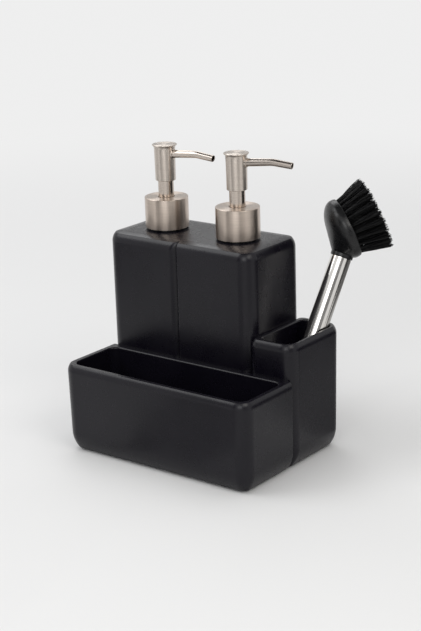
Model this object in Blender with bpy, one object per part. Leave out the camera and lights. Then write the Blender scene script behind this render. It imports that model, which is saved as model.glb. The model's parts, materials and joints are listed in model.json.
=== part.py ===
"""Sink caddy: two pump bottles, a sponge trough and a brush cup in one cast body, with its dish brush.

Metres, +Z up, the front towards -Y. The origin is the middle of the base pad's underside.
"""

import math

import bmesh
import bpy
from mathutils import Matrix, Vector

# Fits
GAP = 0.0003                    # between two pieces that touch
OVERRUN = 0.003                 # how far a cutter runs past the face that it opens
BURIED = 0.0006                 # how deep a joined shape starts inside its neighbour

# Base pad
PAD_THICKNESS = 0.001
PAD_MARGIN = 0.013              # from the caddy's outline to the pad's edge
PAD_CORNER_RADIUS = 0.006

# Cast body, outside
BOTTLE_WIDTH = 0.0665
BOTTLE_DEPTH = 0.066
BOTTLE_HEIGHT = 0.156
BOTTLE_LAP = 0.001              # how far the left bottle runs into the right one
TOWER_STEP = 0.0006             # the bottles stand this far in from the trough's left end
TROUGH_DEPTH = 0.057
TROUGH_HEIGHT = 0.0666
TROUGH_LAP = 0.0015             # how far the trough runs back past the bottles' front
CUP_WIDTH = 0.0374
CUP_HEIGHT = 0.093
CUP_LAP = 0.002                 # how far the cup runs into the right bottle
CORNER_RADIUS = 0.011           # upright corners
GROOVE_RADIUS = 0.008           # the left bottle's corners at the groove
CUP_SEAM_RADIUS = 0.006         # the cup's corners at the right bottle
SEAM_RADIUS = 0.0018            # upright edges that stand proud at a seam
FOOT_RADIUS = 0.022             # of the sides' turn inwards, all round the bottom
FOOT_TURN = math.radians(36)    # how far they turn before the underside cuts them off
SHOULDER_RADIUS = 0.010         # of the bottles' sides where they turn in at the top
SHOULDER_TURN = math.radians(42)  # how far they turn before they meet the top in a crease
CROWN = 0.0010                  # how far the bottles' top droops to that crease
CROWN_REACH = 0.011             # from the side to where the top is level
RIM_RADIUS = 0.009              # of the trough's and the cup's sides where they turn in at the rim
RIM_TURN = math.radians(40)
DRAFT = 0.0011                  # how far an outer side of the trough and the cup leans in at its base
BOTTLE_DRAFT = 0.0005           # the same on the bottles

# Cast body, inside
WALL = 0.0062                   # outer walls of the bottles and the trough
CUP_WALL = 0.0047               # outer walls of the cup
REAR_RIM = 0.004                # rim between the trough and the bottles
CUP_REAR_RIM = 0.0037           # rim between the cup and the right bottle
FLOOR = 0.005
INNER_CORNER_RADIUS = 0.0065
INNER_FOOT_RADIUS = 0.004
LIP_RADIUS = 0.0012             # inner edge of the rims
WELL_DRAFT = 0.0004
BOTTLE_TOP = 0.007              # thickness under the pumps
DIVIDER = 0.005                 # wall between the two soap chambers

# Neck insert, glued into the bottle's top
NECK_HOLE_RADIUS = 0.0122
NECK_BORE_RADIUS = 0.0104
NECK_TAIL = 0.0015              # how far the insert reaches below the bottle's top wall
NECK_FLANGE_RADIUS = 0.0154
NECK_FLANGE = 0.0017
NECK_RADIUS = 0.0127            # at the root of its thread
NECK_HEIGHT = 0.0136
THREAD_PITCH = 0.00423
THREAD_DEPTH = 0.0010
THREAD_ROOT_WIDTH = 0.0014
THREAD_CREST_WIDTH = 0.0007
THREAD_TURNS = 1.25
NECK_THREAD_START = 0.0045      # above the flange

# Screw collar: a sheet metal shell over a moulded cap
COLLAR_RADIUS = 0.0165
COLLAR_HEIGHT = 0.0221
COLLAR_SHEET = 0.0007
COLLAR_EDGE = 0.0005            # rounding of its top edge
COLLAR_HOLE_RADIUS = 0.0064
CAP_TOP = 0.002
CAP_SKIRT = 0.0013
CAP_HOLE_RADIUS = 0.0067

# Pump body, hidden in the collar and the bottle
GASKET = 0.0015
GASKET_BORE_RADIUS = 0.0091
GASKET_RADIUS = 0.0126
HOUSING_FLANGE_RADIUS = 0.0126
HOUSING_FLANGE = 0.0015
HOUSING_RADIUS = 0.0086
HOUSING_BORE_RADIUS = 0.0074
HOUSING_DEPTH = 0.0415          # from its flange's top to the spring's seat
GUIDE_FLANGE_RADIUS = 0.0122
GUIDE_FLANGE = 0.0016
GUIDE_LENGTH = 0.0078           # of its barrel, inside the housing
VALVE_CHAMBER_RADIUS = 0.0026
VALVE_CHAMBER = 0.0042
VALVE_SEAT_RADIUS = 0.0014
VALVE_SEAT = 0.0012             # height of the cone that the ball rests on
VALVE_THROAT = 0.0015           # between the seat and the dip tube
VALVE_BALL_RADIUS = 0.0020
RETAINER = 0.0010
RETAINER_BORE_RADIUS = 0.0013
TAIL_RADIUS = 0.0043            # the housing's tail, round the dip tube
TAIL_SOCKET = 0.008
DIP_TUBE_RADIUS = 0.0027
DIP_TUBE_BORE_RADIUS = 0.0019
DIP_TUBE_STAND_OFF = 0.003      # above the chamber's floor

# Plunger
STROKE = 0.010
SLEEVE_RADIUS = 0.0059
SLEEVE_WALL = 0.0006
SLEEVE_EXPOSED = 0.0125         # between the collar and the head
SLEEVE_TAIL_CLEARANCE = 0.002   # from the sleeve's lower end to the guide's
ROD_RADIUS = 0.0032
ROD_BORE_RADIUS = 0.0014
ROD_SHOULDER_RADIUS = 0.0046
ROD_SHOULDER = 0.0012
ROD_FLANGE_RADIUS = 0.0060
ROD_FLANGE = 0.0015
SEAL_HEIGHT = 0.005
SEAL_WAIST = 0.0006             # how much slimmer the seal is between its two lips
SEAL_LIP = 0.0012
SPRING_WIRE_RADIUS = 0.0004
SPRING_RADIUS = 0.0052          # to the middle of the wire
SPRING_TURNS = 7

# Pump head
HEAD_HEIGHT = 0.0274
HEAD_FOOT_RADIUS = 0.0077
HEAD_WAIST_RADIUS = 0.00795     # just under the flared top
HEAD_TOP_RADIUS = 0.00935
HEAD_FLARE = 0.0026             # height of the flare
HEAD_RIM = 0.0009               # height of the straight rim above the flare
HEAD_CHAMFER = 0.0006
HEAD_BORE_RADIUS = 0.0062
HEAD_CROWN = 0.0025             # thickness above the bore
SLEEVE_SOCKET = 0.0050          # how deep the sleeve sits in the head
CORE_RADIUS = 0.0059
ROD_SOCKET = 0.0080
SPOUT_DROP = 0.0073             # from the head's top to the spout's line
SPOUT_START = 0.0036            # from the pump's line
SPOUT_REACH = 0.0438
SPOUT_BEND_START = 0.0262
SPOUT_BEND_END = 0.0306
SPOUT_RADIUS = 0.00305
SPOUT_TIP_RADIUS = 0.0025
SPOUT_SHEET = 0.0005
SPOUT_RISE = math.radians(4)
SPOUT_FALL = math.radians(7)
LEFT_SPOUT_TURN = math.radians(3)
RIGHT_SPOUT_TURN = math.radians(12)

# Dish brush
HANDLE_RADIUS = 0.00785
HANDLE_WALL = 0.0008
HANDLE_LENGTH = 0.1482          # from its foot to the brush head
CAP_PLUG = 0.012
CAP_DOME = 0.003
SPIGOT_LENGTH = 0.014
NECK_COLLAR_RADIUS = 0.0084
NECK_COLLAR = 0.0036            # along the handle
NECK_RADIUS_IN_HEAD = 0.0079    # where the head's taper starts, inside the collar
NECK_TAPER_START = 0.0020       # from the handle's mouth
BRUSH_HEADING = math.radians(40)  # the way the bristles face, from +X towards +Y
BRUSH_HEAD_ANGLE = math.radians(45)
HEAD_OFFSET = 0.0177            # from the handle's line to the head's, across the head
BRUSH_HEAD_RADIUS = 0.0230
BRUSH_HEAD_DOME = 0.0118        # from its widest circle to its back
BRUSH_HEAD_WIDEST = 0.0108      # from the handle's mouth to the widest circle, along the head's line
BRUSH_HEAD_LIP = 0.0031         # from the widest circle to the face
LIP_TURN_IN = 0.0006
PLATE_RADIUS = 0.0214
PLATE_THICKNESS = 0.0030

# Bristles
BRISTLE_LENGTH = 0.0238
BRISTLE_RADIUS = 0.00042
BRISTLE_FIELD_RADIUS = 0.0209   # to the outermost tufts, at the plate
BRISTLE_TIP_RADIUS = 0.0282
BRISTLE_LEAN = 0.0010           # how far the tips lie off the plate's line, towards the handle
TUFT_RADIUS = 0.0010
TUFT_TIP_RADIUS = 0.0018
TUFT_RINGS = 4
BRISTLES_IN_TUFT = 5
BRISTLE_SIDES = 3
TIP_STAGGER = 0.0012

# Fineness of the round shapes
CORNER_STEPS = 4
EDGE_STEPS = 3
SHELL_SIDES = 24
THREAD_SIDES = 20
FINE_SIDES = 16
INNER_SIDES = 12
SPRING_STEPS_PER_TURN = 10
SPRING_SIDES = 4
HALF_SIDE = 0.5                 # a thread's corners lie over the middles of the flat sides
SMOOTH_ANGLE = math.radians(35)
MERGE_DISTANCE = 0.000001
STANCE_ROUNDS = 8

for leftover in list(bpy.data.objects):
    bpy.data.objects.remove(leftover)

# The caddy's outline, seen from above
caddy_length = TOWER_STEP + 2 * BOTTLE_WIDTH - CUP_LAP + CUP_WIDTH
caddy_depth = TROUGH_DEPTH + BOTTLE_DEPTH
left_side = -caddy_length / 2
right_side = caddy_length / 2
front_side = -caddy_depth / 2
back_side = caddy_depth / 2
bottle_front = front_side + TROUGH_DEPTH
tower_left = left_side + TOWER_STEP
bottle_split = tower_left + BOTTLE_WIDTH
tower_right = bottle_split + BOTTLE_WIDTH
cup_left = tower_right - CUP_LAP
underside = PAD_THICKNESS + GAP
bottle_top = underside + BOTTLE_HEIGHT
cup_rim = underside + CUP_HEIGHT
floor_level = underside + FLOOR
well_left = tower_right + CUP_REAR_RIM
well_right = right_side - CUP_WALL
well_front = bottle_front + CUP_WALL
well_back = back_side - CUP_WALL


def finish_material(name, colour, roughness, metallic=0.0):
    """A Principled material for one piece."""
    made = bpy.data.materials.new(name)
    made.use_nodes = True
    shader = made.node_tree.nodes["Principled BSDF"]
    shader.inputs["Base Color"].default_value = (*colour, 1.0)
    shader.inputs["Roughness"].default_value = roughness
    shader.inputs["Metallic"].default_value = metallic
    made.diffuse_color = (*colour, 1.0)
    return made


BLACK_CAST = ((0.018, 0.018, 0.021), 0.42)
BRUSHED_NICKEL = ((0.62, 0.56, 0.50), 0.30, 1.0)
POLISHED_STEEL = ((0.72, 0.70, 0.67), 0.14, 1.0)
BLACK_MOULDED = ((0.012, 0.012, 0.013), 0.35)
BLACK_NYLON = ((0.006, 0.006, 0.007), 0.50)
WHITE_MOULDED = ((0.80, 0.80, 0.78), 0.45)
CLEAR_TUBE = ((0.75, 0.77, 0.78), 0.25)
GREY_RUBBER = ((0.10, 0.10, 0.10), 0.80)


def add_piece(name, bm, finish=None, at=(0, 0, 0), parent=None):
    """Closes the mesh, shades it and adds it as an object. Without a finish it is a cutter or a guide."""
    bmesh.ops.remove_doubles(bm, verts=bm.verts, dist=MERGE_DISTANCE)
    bmesh.ops.recalc_face_normals(bm, faces=bm.faces)
    mesh = bpy.data.meshes.new(name)
    bm.to_mesh(mesh)
    bm.free()
    mesh.shade_smooth()
    mesh.set_sharp_from_angle(angle=SMOOTH_ANGLE)
    piece = bpy.data.objects.new(name, mesh)
    bpy.context.collection.objects.link(piece)
    piece.location = at
    piece.parent = parent
    if finish:
        mesh.materials.append(finish_material(name, *finish))
    else:
        piece.hide_render = True
        piece.display_type = "WIRE"
    return piece


def combine(piece, other, operation):
    """Joins a guide shape to a piece, or cuts it out, with a Boolean modifier that stays on the piece."""
    modifier = piece.modifiers.new(other.name, "BOOLEAN")
    modifier.operation = operation
    modifier.solver = "EXACT"
    modifier.object = other


def loft(rings):
    """A closed skin over rings of equal length, with a flat face at each end."""
    bm = bmesh.new()
    rows = [[bm.verts.new(point) for point in ring] for ring in rings]
    count = len(rings[0])
    for low, high in zip(rows, rows[1:]):
        for i in range(count):
            j = (i + 1) % count
            bm.faces.new((low[i], low[j], high[j], high[i]))
    bm.faces.new(list(reversed(rows[0])))
    bm.faces.new(rows[-1])
    return bm


def turned(profile, sides):
    """A solid turned about Z from (radius, height) points. A profile that leaves the axis alone closes on itself."""
    bm = bmesh.new()
    verts = [bm.verts.new((radius, 0, height)) for radius, height in profile]
    edges = [bm.edges.new(pair) for pair in zip(verts, verts[1:])]
    if profile[0][0] > 0:
        edges.append(bm.edges.new((verts[-1], verts[0])))
    bmesh.ops.spin(bm, geom=verts + edges, cent=(0, 0, 0), axis=(0, 0, 1), angle=2 * math.pi,
                   steps=sides, use_merge=True)
    return bm


def arc(centre, radius_out, radius_up, start, end, steps):
    """Points of an elliptical arc in a (radius, height) profile, angles from the outward direction."""
    points = []
    for step in range(steps + 1):
        angle = start + (end - start) * step / steps
        points.append((centre[0] + radius_out * math.cos(angle), centre[1] + radius_up * math.sin(angle)))
    return points


def rounded_outline(x_low, x_high, y_low, y_high, radii, z):
    """A rectangle with its own radius at each corner, in the order front right, back right, back left, front left."""
    corners = ((x_high, y_low, 1, -1), (x_high, y_high, 1, 1), (x_low, y_high, -1, 1), (x_low, y_low, -1, -1))
    points = []
    for number, ((x, y, across, along), radius) in enumerate(zip(corners, radii)):
        for step in range(CORNER_STEPS + 1):
            angle = math.pi / 2 * (number - 1 + step / CORNER_STEPS)
            points.append((x - across * radius + radius * math.cos(angle),
                           y - along * radius + radius * math.sin(angle), z))
    return points


def edge_steps(radius, turn=math.pi / 2):
    """(inset, drop) pairs up a side that turns inwards through this angle, from upright to where it is cut off."""
    pairs = []
    for step in range(EDGE_STEPS + 1):
        angle = turn * step / EDGE_STEPS
        pairs.append((radius * (1 - math.cos(angle)), radius * (math.sin(turn) - math.sin(angle))))
    return pairs


def shoulder_steps():
    """The bottles' turned-in side up to the crease, and the top's droop from there to where it is level."""
    pairs = [(inset, drop + CROWN) for inset, drop in edge_steps(SHOULDER_RADIUS, SHOULDER_TURN)]
    crease = pairs[-1][0]
    for step in range(1, EDGE_STEPS + 1):
        share = step / EDGE_STEPS
        pairs.append((crease + (CROWN_REACH - crease) * share, CROWN * (1 - share) ** 2))
    return pairs


def cast_box(low, high, radii, foot_sides, top_sides, top_steps, draft):
    """One of the body's boxes: rounded corners, a foot and a top that turn in, and sides that lean in at the base.

    foot_sides and top_sides name the sides that turn in there; the others are buried in a neighbour.
    """
    height = high[2] - low[2]
    levels = []
    for inset, rise in reversed(edge_steps(FOOT_RADIUS, FOOT_TURN)):
        levels.append((inset + draft * (1 - rise / height), rise, foot_sides))
    for inset, drop in top_steps:
        levels.append((inset + draft * drop / height, height - drop, top_sides))
    rings = []
    for inset, rise, sides in levels:
        radii_here = [max(radius - inset, SEAM_RADIUS / 2) for radius in radii]
        rings.append(rounded_outline(
            low[0] + ("left" in sides) * inset,
            high[0] - ("right" in sides) * inset,
            low[1] + ("front" in sides) * inset,
            high[1] - ("back" in sides) * inset,
            radii_here,
            low[2] + rise,
        ))
    return loft(rings)


def well(low, high, radius, mouth_lip):
    """A cutter for an open well: rounded floor edge, a slight draft, and an eased lip where it has a mouth."""
    height = high[2] - low[2]
    levels = []
    for inset, rise in reversed(edge_steps(INNER_FOOT_RADIUS)):
        levels.append((inset + WELL_DRAFT * (1 - rise / height), rise))
    if mouth_lip:
        for inset, drop in edge_steps(LIP_RADIUS):
            levels.append((-inset, height - drop))
        levels.append((-LIP_RADIUS, height + OVERRUN))
    else:
        for inset, drop in edge_steps(INNER_FOOT_RADIUS):
            levels.append((inset, height - drop))
    rings = []
    for inset, rise in levels:
        corner = max(radius - inset, SEAM_RADIUS / 2)
        rings.append(rounded_outline(low[0] + inset, high[0] - inset, low[1] + inset, high[1] - inset,
                                     [corner] * 4, low[2] + rise))
    return loft(rings)


def build_body():
    """The cast body: four boxes joined, then the wells, the soap chambers and the neck holes."""
    split_radii = (GROOVE_RADIUS, GROOVE_RADIUS, CORNER_RADIUS, CORNER_RADIUS)
    rim_steps = edge_steps(RIM_RADIUS, RIM_TURN)
    body = add_piece("caddy_body", cast_box(
        (tower_left, bottle_front, underside), (bottle_split + BOTTLE_LAP, back_side, bottle_top),
        split_radii, ("left", "back"), ("left", "front", "back"), shoulder_steps(), BOTTLE_DRAFT), BLACK_CAST)
    right_bottle = add_piece("right_bottle_shape", cast_box(
        (bottle_split, bottle_front, underside), (tower_right, back_side, bottle_top),
        (CORNER_RADIUS, CORNER_RADIUS, SEAM_RADIUS, SEAM_RADIUS), ("back",), ("right", "front", "back"),
        shoulder_steps(), BOTTLE_DRAFT))
    cup = add_piece("cup_shape", cast_box(
        (cup_left, bottle_front, underside), (right_side, back_side, cup_rim),
        (CORNER_RADIUS, CORNER_RADIUS, CUP_SEAM_RADIUS, CUP_SEAM_RADIUS), ("right", "back"),
        ("left", "right", "front", "back"), rim_steps, DRAFT))
    trough = add_piece("trough_shape", cast_box(
        (left_side, front_side, underside), (right_side, bottle_front + TROUGH_LAP, underside + TROUGH_HEIGHT),
        (CORNER_RADIUS, SEAM_RADIUS, SEAM_RADIUS, CORNER_RADIUS), ("left", "right", "front"),
        ("left", "right", "front"), rim_steps, DRAFT))
    for shape in (right_bottle, cup, trough):
        combine(body, shape, "UNION")
    trough_well = add_piece("trough_well", well(
        (left_side + WALL, front_side + WALL, floor_level),
        (right_side - WALL, bottle_front - REAR_RIM, underside + TROUGH_HEIGHT), INNER_CORNER_RADIUS, True))
    cup_well = add_piece("cup_well", well(
        (well_left, well_front, floor_level), (well_right, well_back, cup_rim), INNER_CORNER_RADIUS, True))
    combine(body, trough_well, "DIFFERENCE")
    combine(body, cup_well, "DIFFERENCE")
    chambers = (("left", tower_left + WALL, bottle_split - DIVIDER / 2),
                ("right", bottle_split + DIVIDER / 2, tower_right - WALL))
    for side, x_low, x_high in chambers:
        chamber = add_piece(side + "_chamber", well(
            (x_low, bottle_front + WALL, floor_level), (x_high, back_side - WALL, bottle_top - BOTTLE_TOP),
            INNER_CORNER_RADIUS, False))
        hole = add_piece(side + "_neck_hole", turned([
            (0, -BOTTLE_TOP - OVERRUN), (NECK_HOLE_RADIUS, -BOTTLE_TOP - OVERRUN),
            (NECK_HOLE_RADIUS, OVERRUN), (0, OVERRUN)], SHELL_SIDES), at=pump_seat(side))
        combine(body, chamber, "DIFFERENCE")
        combine(body, hole, "DIFFERENCE")


def build_pad():
    """The thin non-slip sheet glued under the body."""
    radii = [PAD_CORNER_RADIUS] * 4
    edges = (left_side + PAD_MARGIN, right_side - PAD_MARGIN, front_side + PAD_MARGIN, back_side - PAD_MARGIN)
    add_piece("base_pad", loft([rounded_outline(*edges, radii, z) for z in (0, PAD_THICKNESS)]), GREY_RUBBER)


def pump_seat(side):
    """Where a pump's line meets the bottle's top: the middle of its bottle."""
    middle = tower_left if side == "left" else bottle_split
    return (middle + BOTTLE_WIDTH / 2, bottle_front + BOTTLE_DEPTH / 2, bottle_top)


def thread_ridge(root_radius, crest_radius, start, sides):
    """A helical ridge, right-handed, standing from the root radius towards the crest radius."""
    steps = round(THREAD_TURNS * sides)
    rings = []
    for step in range(steps + 1):
        turn = step / sides
        angle = 2 * math.pi * (turn + HALF_SIDE / sides)
        middle = start + THREAD_PITCH * turn
        section = ((root_radius, -THREAD_ROOT_WIDTH / 2), (crest_radius, -THREAD_CREST_WIDTH / 2),
                   (crest_radius, THREAD_CREST_WIDTH / 2), (root_radius, THREAD_ROOT_WIDTH / 2))
        rings.append([(radius * math.cos(angle), radius * math.sin(angle), middle + rise)
                      for radius, rise in section])
    return loft(rings)


# Heights in a pump's own frame, whose origin is on its line at the bottle's top
flange_top = GAP + NECK_FLANGE
neck_top = flange_top + NECK_HEIGHT
gasket_low = neck_top + GAP
housing_top = gasket_low + GASKET + GAP + HOUSING_FLANGE
guide_top = housing_top + GAP + GUIDE_FLANGE
guide_low = housing_top - GUIDE_LENGTH
collar_low = flange_top + GAP
collar_top = collar_low + COLLAR_HEIGHT
cap_top = collar_top - COLLAR_SHEET - GAP
cap_low = collar_low + GAP
cap_radius = COLLAR_RADIUS - COLLAR_SHEET - GAP
spring_seat = housing_top - HOUSING_DEPTH
seat_level = spring_seat - VALVE_CHAMBER
throat_level = seat_level - VALVE_SEAT
socket_level = throat_level - VALVE_THROAT
tail_low = socket_level - TAIL_SOCKET
seal_top = guide_low - GAP
seal_low = seal_top - SEAL_HEIGHT
rod_low = seal_low - GAP - ROD_FLANGE
head_low = collar_top + SLEEVE_EXPOSED
head_top = head_low + HEAD_HEIGHT
core_low = head_low + SLEEVE_SOCKET + GAP
core_top = head_top - HEAD_CROWN - GAP
spout_level = head_top - SPOUT_DROP


def build_neck(side, seat):
    """The threaded neck that is glued into the bottle's top."""
    barrel = NECK_HOLE_RADIUS - GAP
    tail = -BOTTLE_TOP - NECK_TAIL
    neck = add_piece(side + "_neck_insert", turned([
        (NECK_BORE_RADIUS, tail), (barrel, tail), (barrel, GAP), (NECK_FLANGE_RADIUS, GAP),
        (NECK_FLANGE_RADIUS, flange_top), (NECK_RADIUS, flange_top), (NECK_RADIUS, neck_top),
        (NECK_BORE_RADIUS, neck_top)], THREAD_SIDES), BLACK_MOULDED, seat)
    ridge = add_piece(side + "_neck_thread", thread_ridge(
        NECK_RADIUS - BURIED, NECK_RADIUS + THREAD_DEPTH, flange_top + NECK_THREAD_START, THREAD_SIDES), at=seat)
    combine(neck, ridge, "UNION")


def build_collar(side, seat):
    """The screw collar: its metal shell, and the moulded cap with the thread inside it."""
    rounding = arc((COLLAR_RADIUS - COLLAR_EDGE, collar_top - COLLAR_EDGE), COLLAR_EDGE, COLLAR_EDGE,
                   0, math.pi / 2, 2)
    inner = COLLAR_RADIUS - COLLAR_SHEET
    add_piece(side + "_collar_shell", turned([
        (inner, collar_low), (COLLAR_RADIUS, collar_low), *rounding, (COLLAR_HOLE_RADIUS, collar_top),
        (COLLAR_HOLE_RADIUS, collar_top - COLLAR_SHEET), (inner, collar_top - COLLAR_SHEET)],
        SHELL_SIDES), BRUSHED_NICKEL, seat)
    inside = cap_radius - CAP_SKIRT
    cap = add_piece(side + "_closure_cap", turned([
        (inside, cap_low), (cap_radius, cap_low), (cap_radius, cap_top), (CAP_HOLE_RADIUS, cap_top),
        (CAP_HOLE_RADIUS, cap_top - CAP_TOP), (inside, cap_top - CAP_TOP)], THREAD_SIDES), WHITE_MOULDED, seat)
    drop = (THREAD_ROOT_WIDTH + THREAD_CREST_WIDTH) / 2 + GAP
    ridge = add_piece(side + "_cap_thread", thread_ridge(
        inside + BURIED, inside - THREAD_DEPTH, flange_top + NECK_THREAD_START - drop, THREAD_SIDES), at=seat)
    combine(cap, ridge, "UNION")


def build_pump_body(side, seat):
    """The gasket, housing, stem guide, foot valve and dip tube."""
    add_piece(side + "_neck_gasket", turned([
        (GASKET_BORE_RADIUS, gasket_low), (GASKET_RADIUS, gasket_low),
        (GASKET_RADIUS, gasket_low + GASKET), (GASKET_BORE_RADIUS, gasket_low + GASKET)],
        FINE_SIDES), WHITE_MOULDED, seat)
    flange_low = housing_top - HOUSING_FLANGE
    shoulder = spring_seat - (HOUSING_RADIUS - HOUSING_BORE_RADIUS)
    add_piece(side + "_pump_housing", turned([
        (HOUSING_BORE_RADIUS, housing_top), (HOUSING_BORE_RADIUS, spring_seat),
        (VALVE_CHAMBER_RADIUS, spring_seat), (VALVE_CHAMBER_RADIUS, seat_level),
        (VALVE_SEAT_RADIUS, throat_level), (VALVE_SEAT_RADIUS, socket_level),
        (DIP_TUBE_RADIUS + GAP, socket_level), (DIP_TUBE_RADIUS + GAP, tail_low), (TAIL_RADIUS, tail_low),
        (TAIL_RADIUS, shoulder), (HOUSING_RADIUS, shoulder), (HOUSING_RADIUS, flange_low),
        (HOUSING_FLANGE_RADIUS, flange_low), (HOUSING_FLANGE_RADIUS, housing_top)],
        INNER_SIDES), WHITE_MOULDED, seat)
    barrel = HOUSING_BORE_RADIUS - GAP
    bore = SLEEVE_RADIUS + GAP
    add_piece(side + "_stem_guide", turned([
        (bore, guide_low), (barrel, guide_low), (barrel, housing_top + GAP),
        (GUIDE_FLANGE_RADIUS, housing_top + GAP), (GUIDE_FLANGE_RADIUS, guide_top), (bore, guide_top)],
        INNER_SIDES), WHITE_MOULDED, seat)
    retainer_low = spring_seat + GAP
    add_piece(side + "_valve_retainer", turned([
        (RETAINER_BORE_RADIUS, retainer_low), (barrel, retainer_low), (barrel, retainer_low + RETAINER),
        (RETAINER_BORE_RADIUS, retainer_low + RETAINER)], INNER_SIDES), WHITE_MOULDED, seat)
    # The ball touches the seat's cone where the cone is square to a radius of the ball.
    slope = math.atan2(VALVE_SEAT, VALVE_CHAMBER_RADIUS - VALVE_SEAT_RADIUS)
    reach = (VALVE_BALL_RADIUS + GAP) / math.cos(slope)
    ball_level = throat_level - VALVE_SEAT_RADIUS * math.tan(slope) + reach
    add_piece(side + "_valve_ball", turned(
        arc((0, 0), VALVE_BALL_RADIUS, VALVE_BALL_RADIUS, -math.pi / 2, math.pi / 2, EDGE_STEPS * 2),
        INNER_SIDES), POLISHED_STEEL, (seat[0], seat[1], seat[2] + ball_level))
    tube_low = floor_level + DIP_TUBE_STAND_OFF - bottle_top
    tube_top = socket_level - GAP
    add_piece(side + "_dip_tube", turned([
        (DIP_TUBE_BORE_RADIUS, tube_low), (DIP_TUBE_RADIUS, tube_low), (DIP_TUBE_RADIUS, tube_top),
        (DIP_TUBE_BORE_RADIUS, tube_top)], INNER_SIDES), CLEAR_TUBE, seat)


def build_spring(side, seat):
    """The return spring, one unbroken wire between the retainer and the rod's flange."""
    low = spring_seat + GAP + RETAINER + GAP + SPRING_WIRE_RADIUS
    high = rod_low - GAP - SPRING_WIRE_RADIUS
    count = SPRING_TURNS * SPRING_STEPS_PER_TURN
    slope = math.atan2(high - low, 2 * math.pi * SPRING_RADIUS * SPRING_TURNS)
    rings = []
    for step in range(count + 1):
        angle = 2 * math.pi * step / SPRING_STEPS_PER_TURN
        outward = Vector((math.cos(angle), math.sin(angle), 0))
        along = Vector((-math.sin(angle) * math.cos(slope), math.cos(angle) * math.cos(slope), math.sin(slope)))
        upward = outward.cross(along)
        middle = outward * SPRING_RADIUS + Vector((0, 0, low + (high - low) * step / count))
        rings.append([middle + SPRING_WIRE_RADIUS * (outward * math.cos(turn) + upward * math.sin(turn))
                      for turn in (2 * math.pi * k / SPRING_SIDES for k in range(SPRING_SIDES))])
    add_piece(side + "_return_spring", loft(rings), POLISHED_STEEL, seat)
    middles = [sum(ring, Vector()) / SPRING_SIDES for ring in rings]
    far = SPRING_STEPS_PER_TURN // 2
    least = min((a - b).length for i, a in enumerate(middles) for b in middles[i + far:])
    print(side, "spring: least gap between its turns", round(least - 2 * SPRING_WIRE_RADIUS, 5))


def build_plunger(side, seat):
    """The hollow rod and the seal that it drives down the housing."""
    rod_top = core_low + ROD_SOCKET - GAP
    shoulder_low = seal_top + GAP
    add_piece(side + "_piston_rod", turned([
        (ROD_BORE_RADIUS, rod_low), (ROD_FLANGE_RADIUS, rod_low), (ROD_FLANGE_RADIUS, rod_low + ROD_FLANGE),
        (ROD_RADIUS, rod_low + ROD_FLANGE), (ROD_RADIUS, shoulder_low), (ROD_SHOULDER_RADIUS, shoulder_low),
        (ROD_SHOULDER_RADIUS, shoulder_low + ROD_SHOULDER), (ROD_RADIUS, shoulder_low + ROD_SHOULDER),
        (ROD_RADIUS, rod_top), (ROD_BORE_RADIUS, rod_top)], INNER_SIDES), WHITE_MOULDED, seat)
    lip = HOUSING_BORE_RADIUS - GAP
    bore = ROD_RADIUS + GAP
    add_piece(side + "_piston_seal", turned([
        (bore, seal_low), (lip, seal_low), (lip, seal_low + SEAL_LIP), (lip - SEAL_WAIST, seal_low + SEAL_LIP),
        (lip - SEAL_WAIST, seal_top - SEAL_LIP), (lip, seal_top - SEAL_LIP), (lip, seal_top),
        (bore, seal_top)], INNER_SIDES), GREY_RUBBER, seat)


def spout_line():
    """The middle line of the spout: up at its rise, round a short bend, and down at its fall."""
    points = [Vector((SPOUT_START, 0, spout_level))]
    reaches = [SPOUT_START, SPOUT_BEND_START]
    slopes = [math.tan(SPOUT_RISE)]
    for step in range(1, EDGE_STEPS + 1):
        share = step / EDGE_STEPS
        reaches.append(SPOUT_BEND_START + (SPOUT_BEND_END - SPOUT_BEND_START) * share)
        slopes.append(math.tan(SPOUT_RISE - (SPOUT_RISE + SPOUT_FALL) * share))
    reaches.append(SPOUT_REACH)
    slopes.append(-math.tan(SPOUT_FALL))
    for near, far, slope in zip(reaches, reaches[1:], slopes):
        points.append(Vector((far, 0, points[-1].z + (far - near) * slope)))
    return points


def tube_skin(points, outer, inner, sides):
    """A tapering tube with a bore, along points in the XZ plane; outer and inner give a radius at each point."""
    bm = bmesh.new()
    rows = []
    for radii in (outer, inner):
        for number, point in enumerate(points):
            before = points[max(number - 1, 0)]
            after = points[min(number + 1, len(points) - 1)]
            along = (after - before).normalized()
            across = Vector((0, 1, 0))
            upward = along.cross(across)
            rows.append([bm.verts.new(point + radii[number] * (
                across * math.cos(2 * math.pi * k / sides) + upward * math.sin(2 * math.pi * k / sides)))
                for k in range(sides)])
    count = len(points)
    order = rows[:count] + rows[count:][::-1]
    for row, following in zip(order, order[1:] + order[:1]):
        for k in range(sides):
            j = (k + 1) % sides
            bm.faces.new((row[k], row[j], following[j], following[k]))
    return bm


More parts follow.
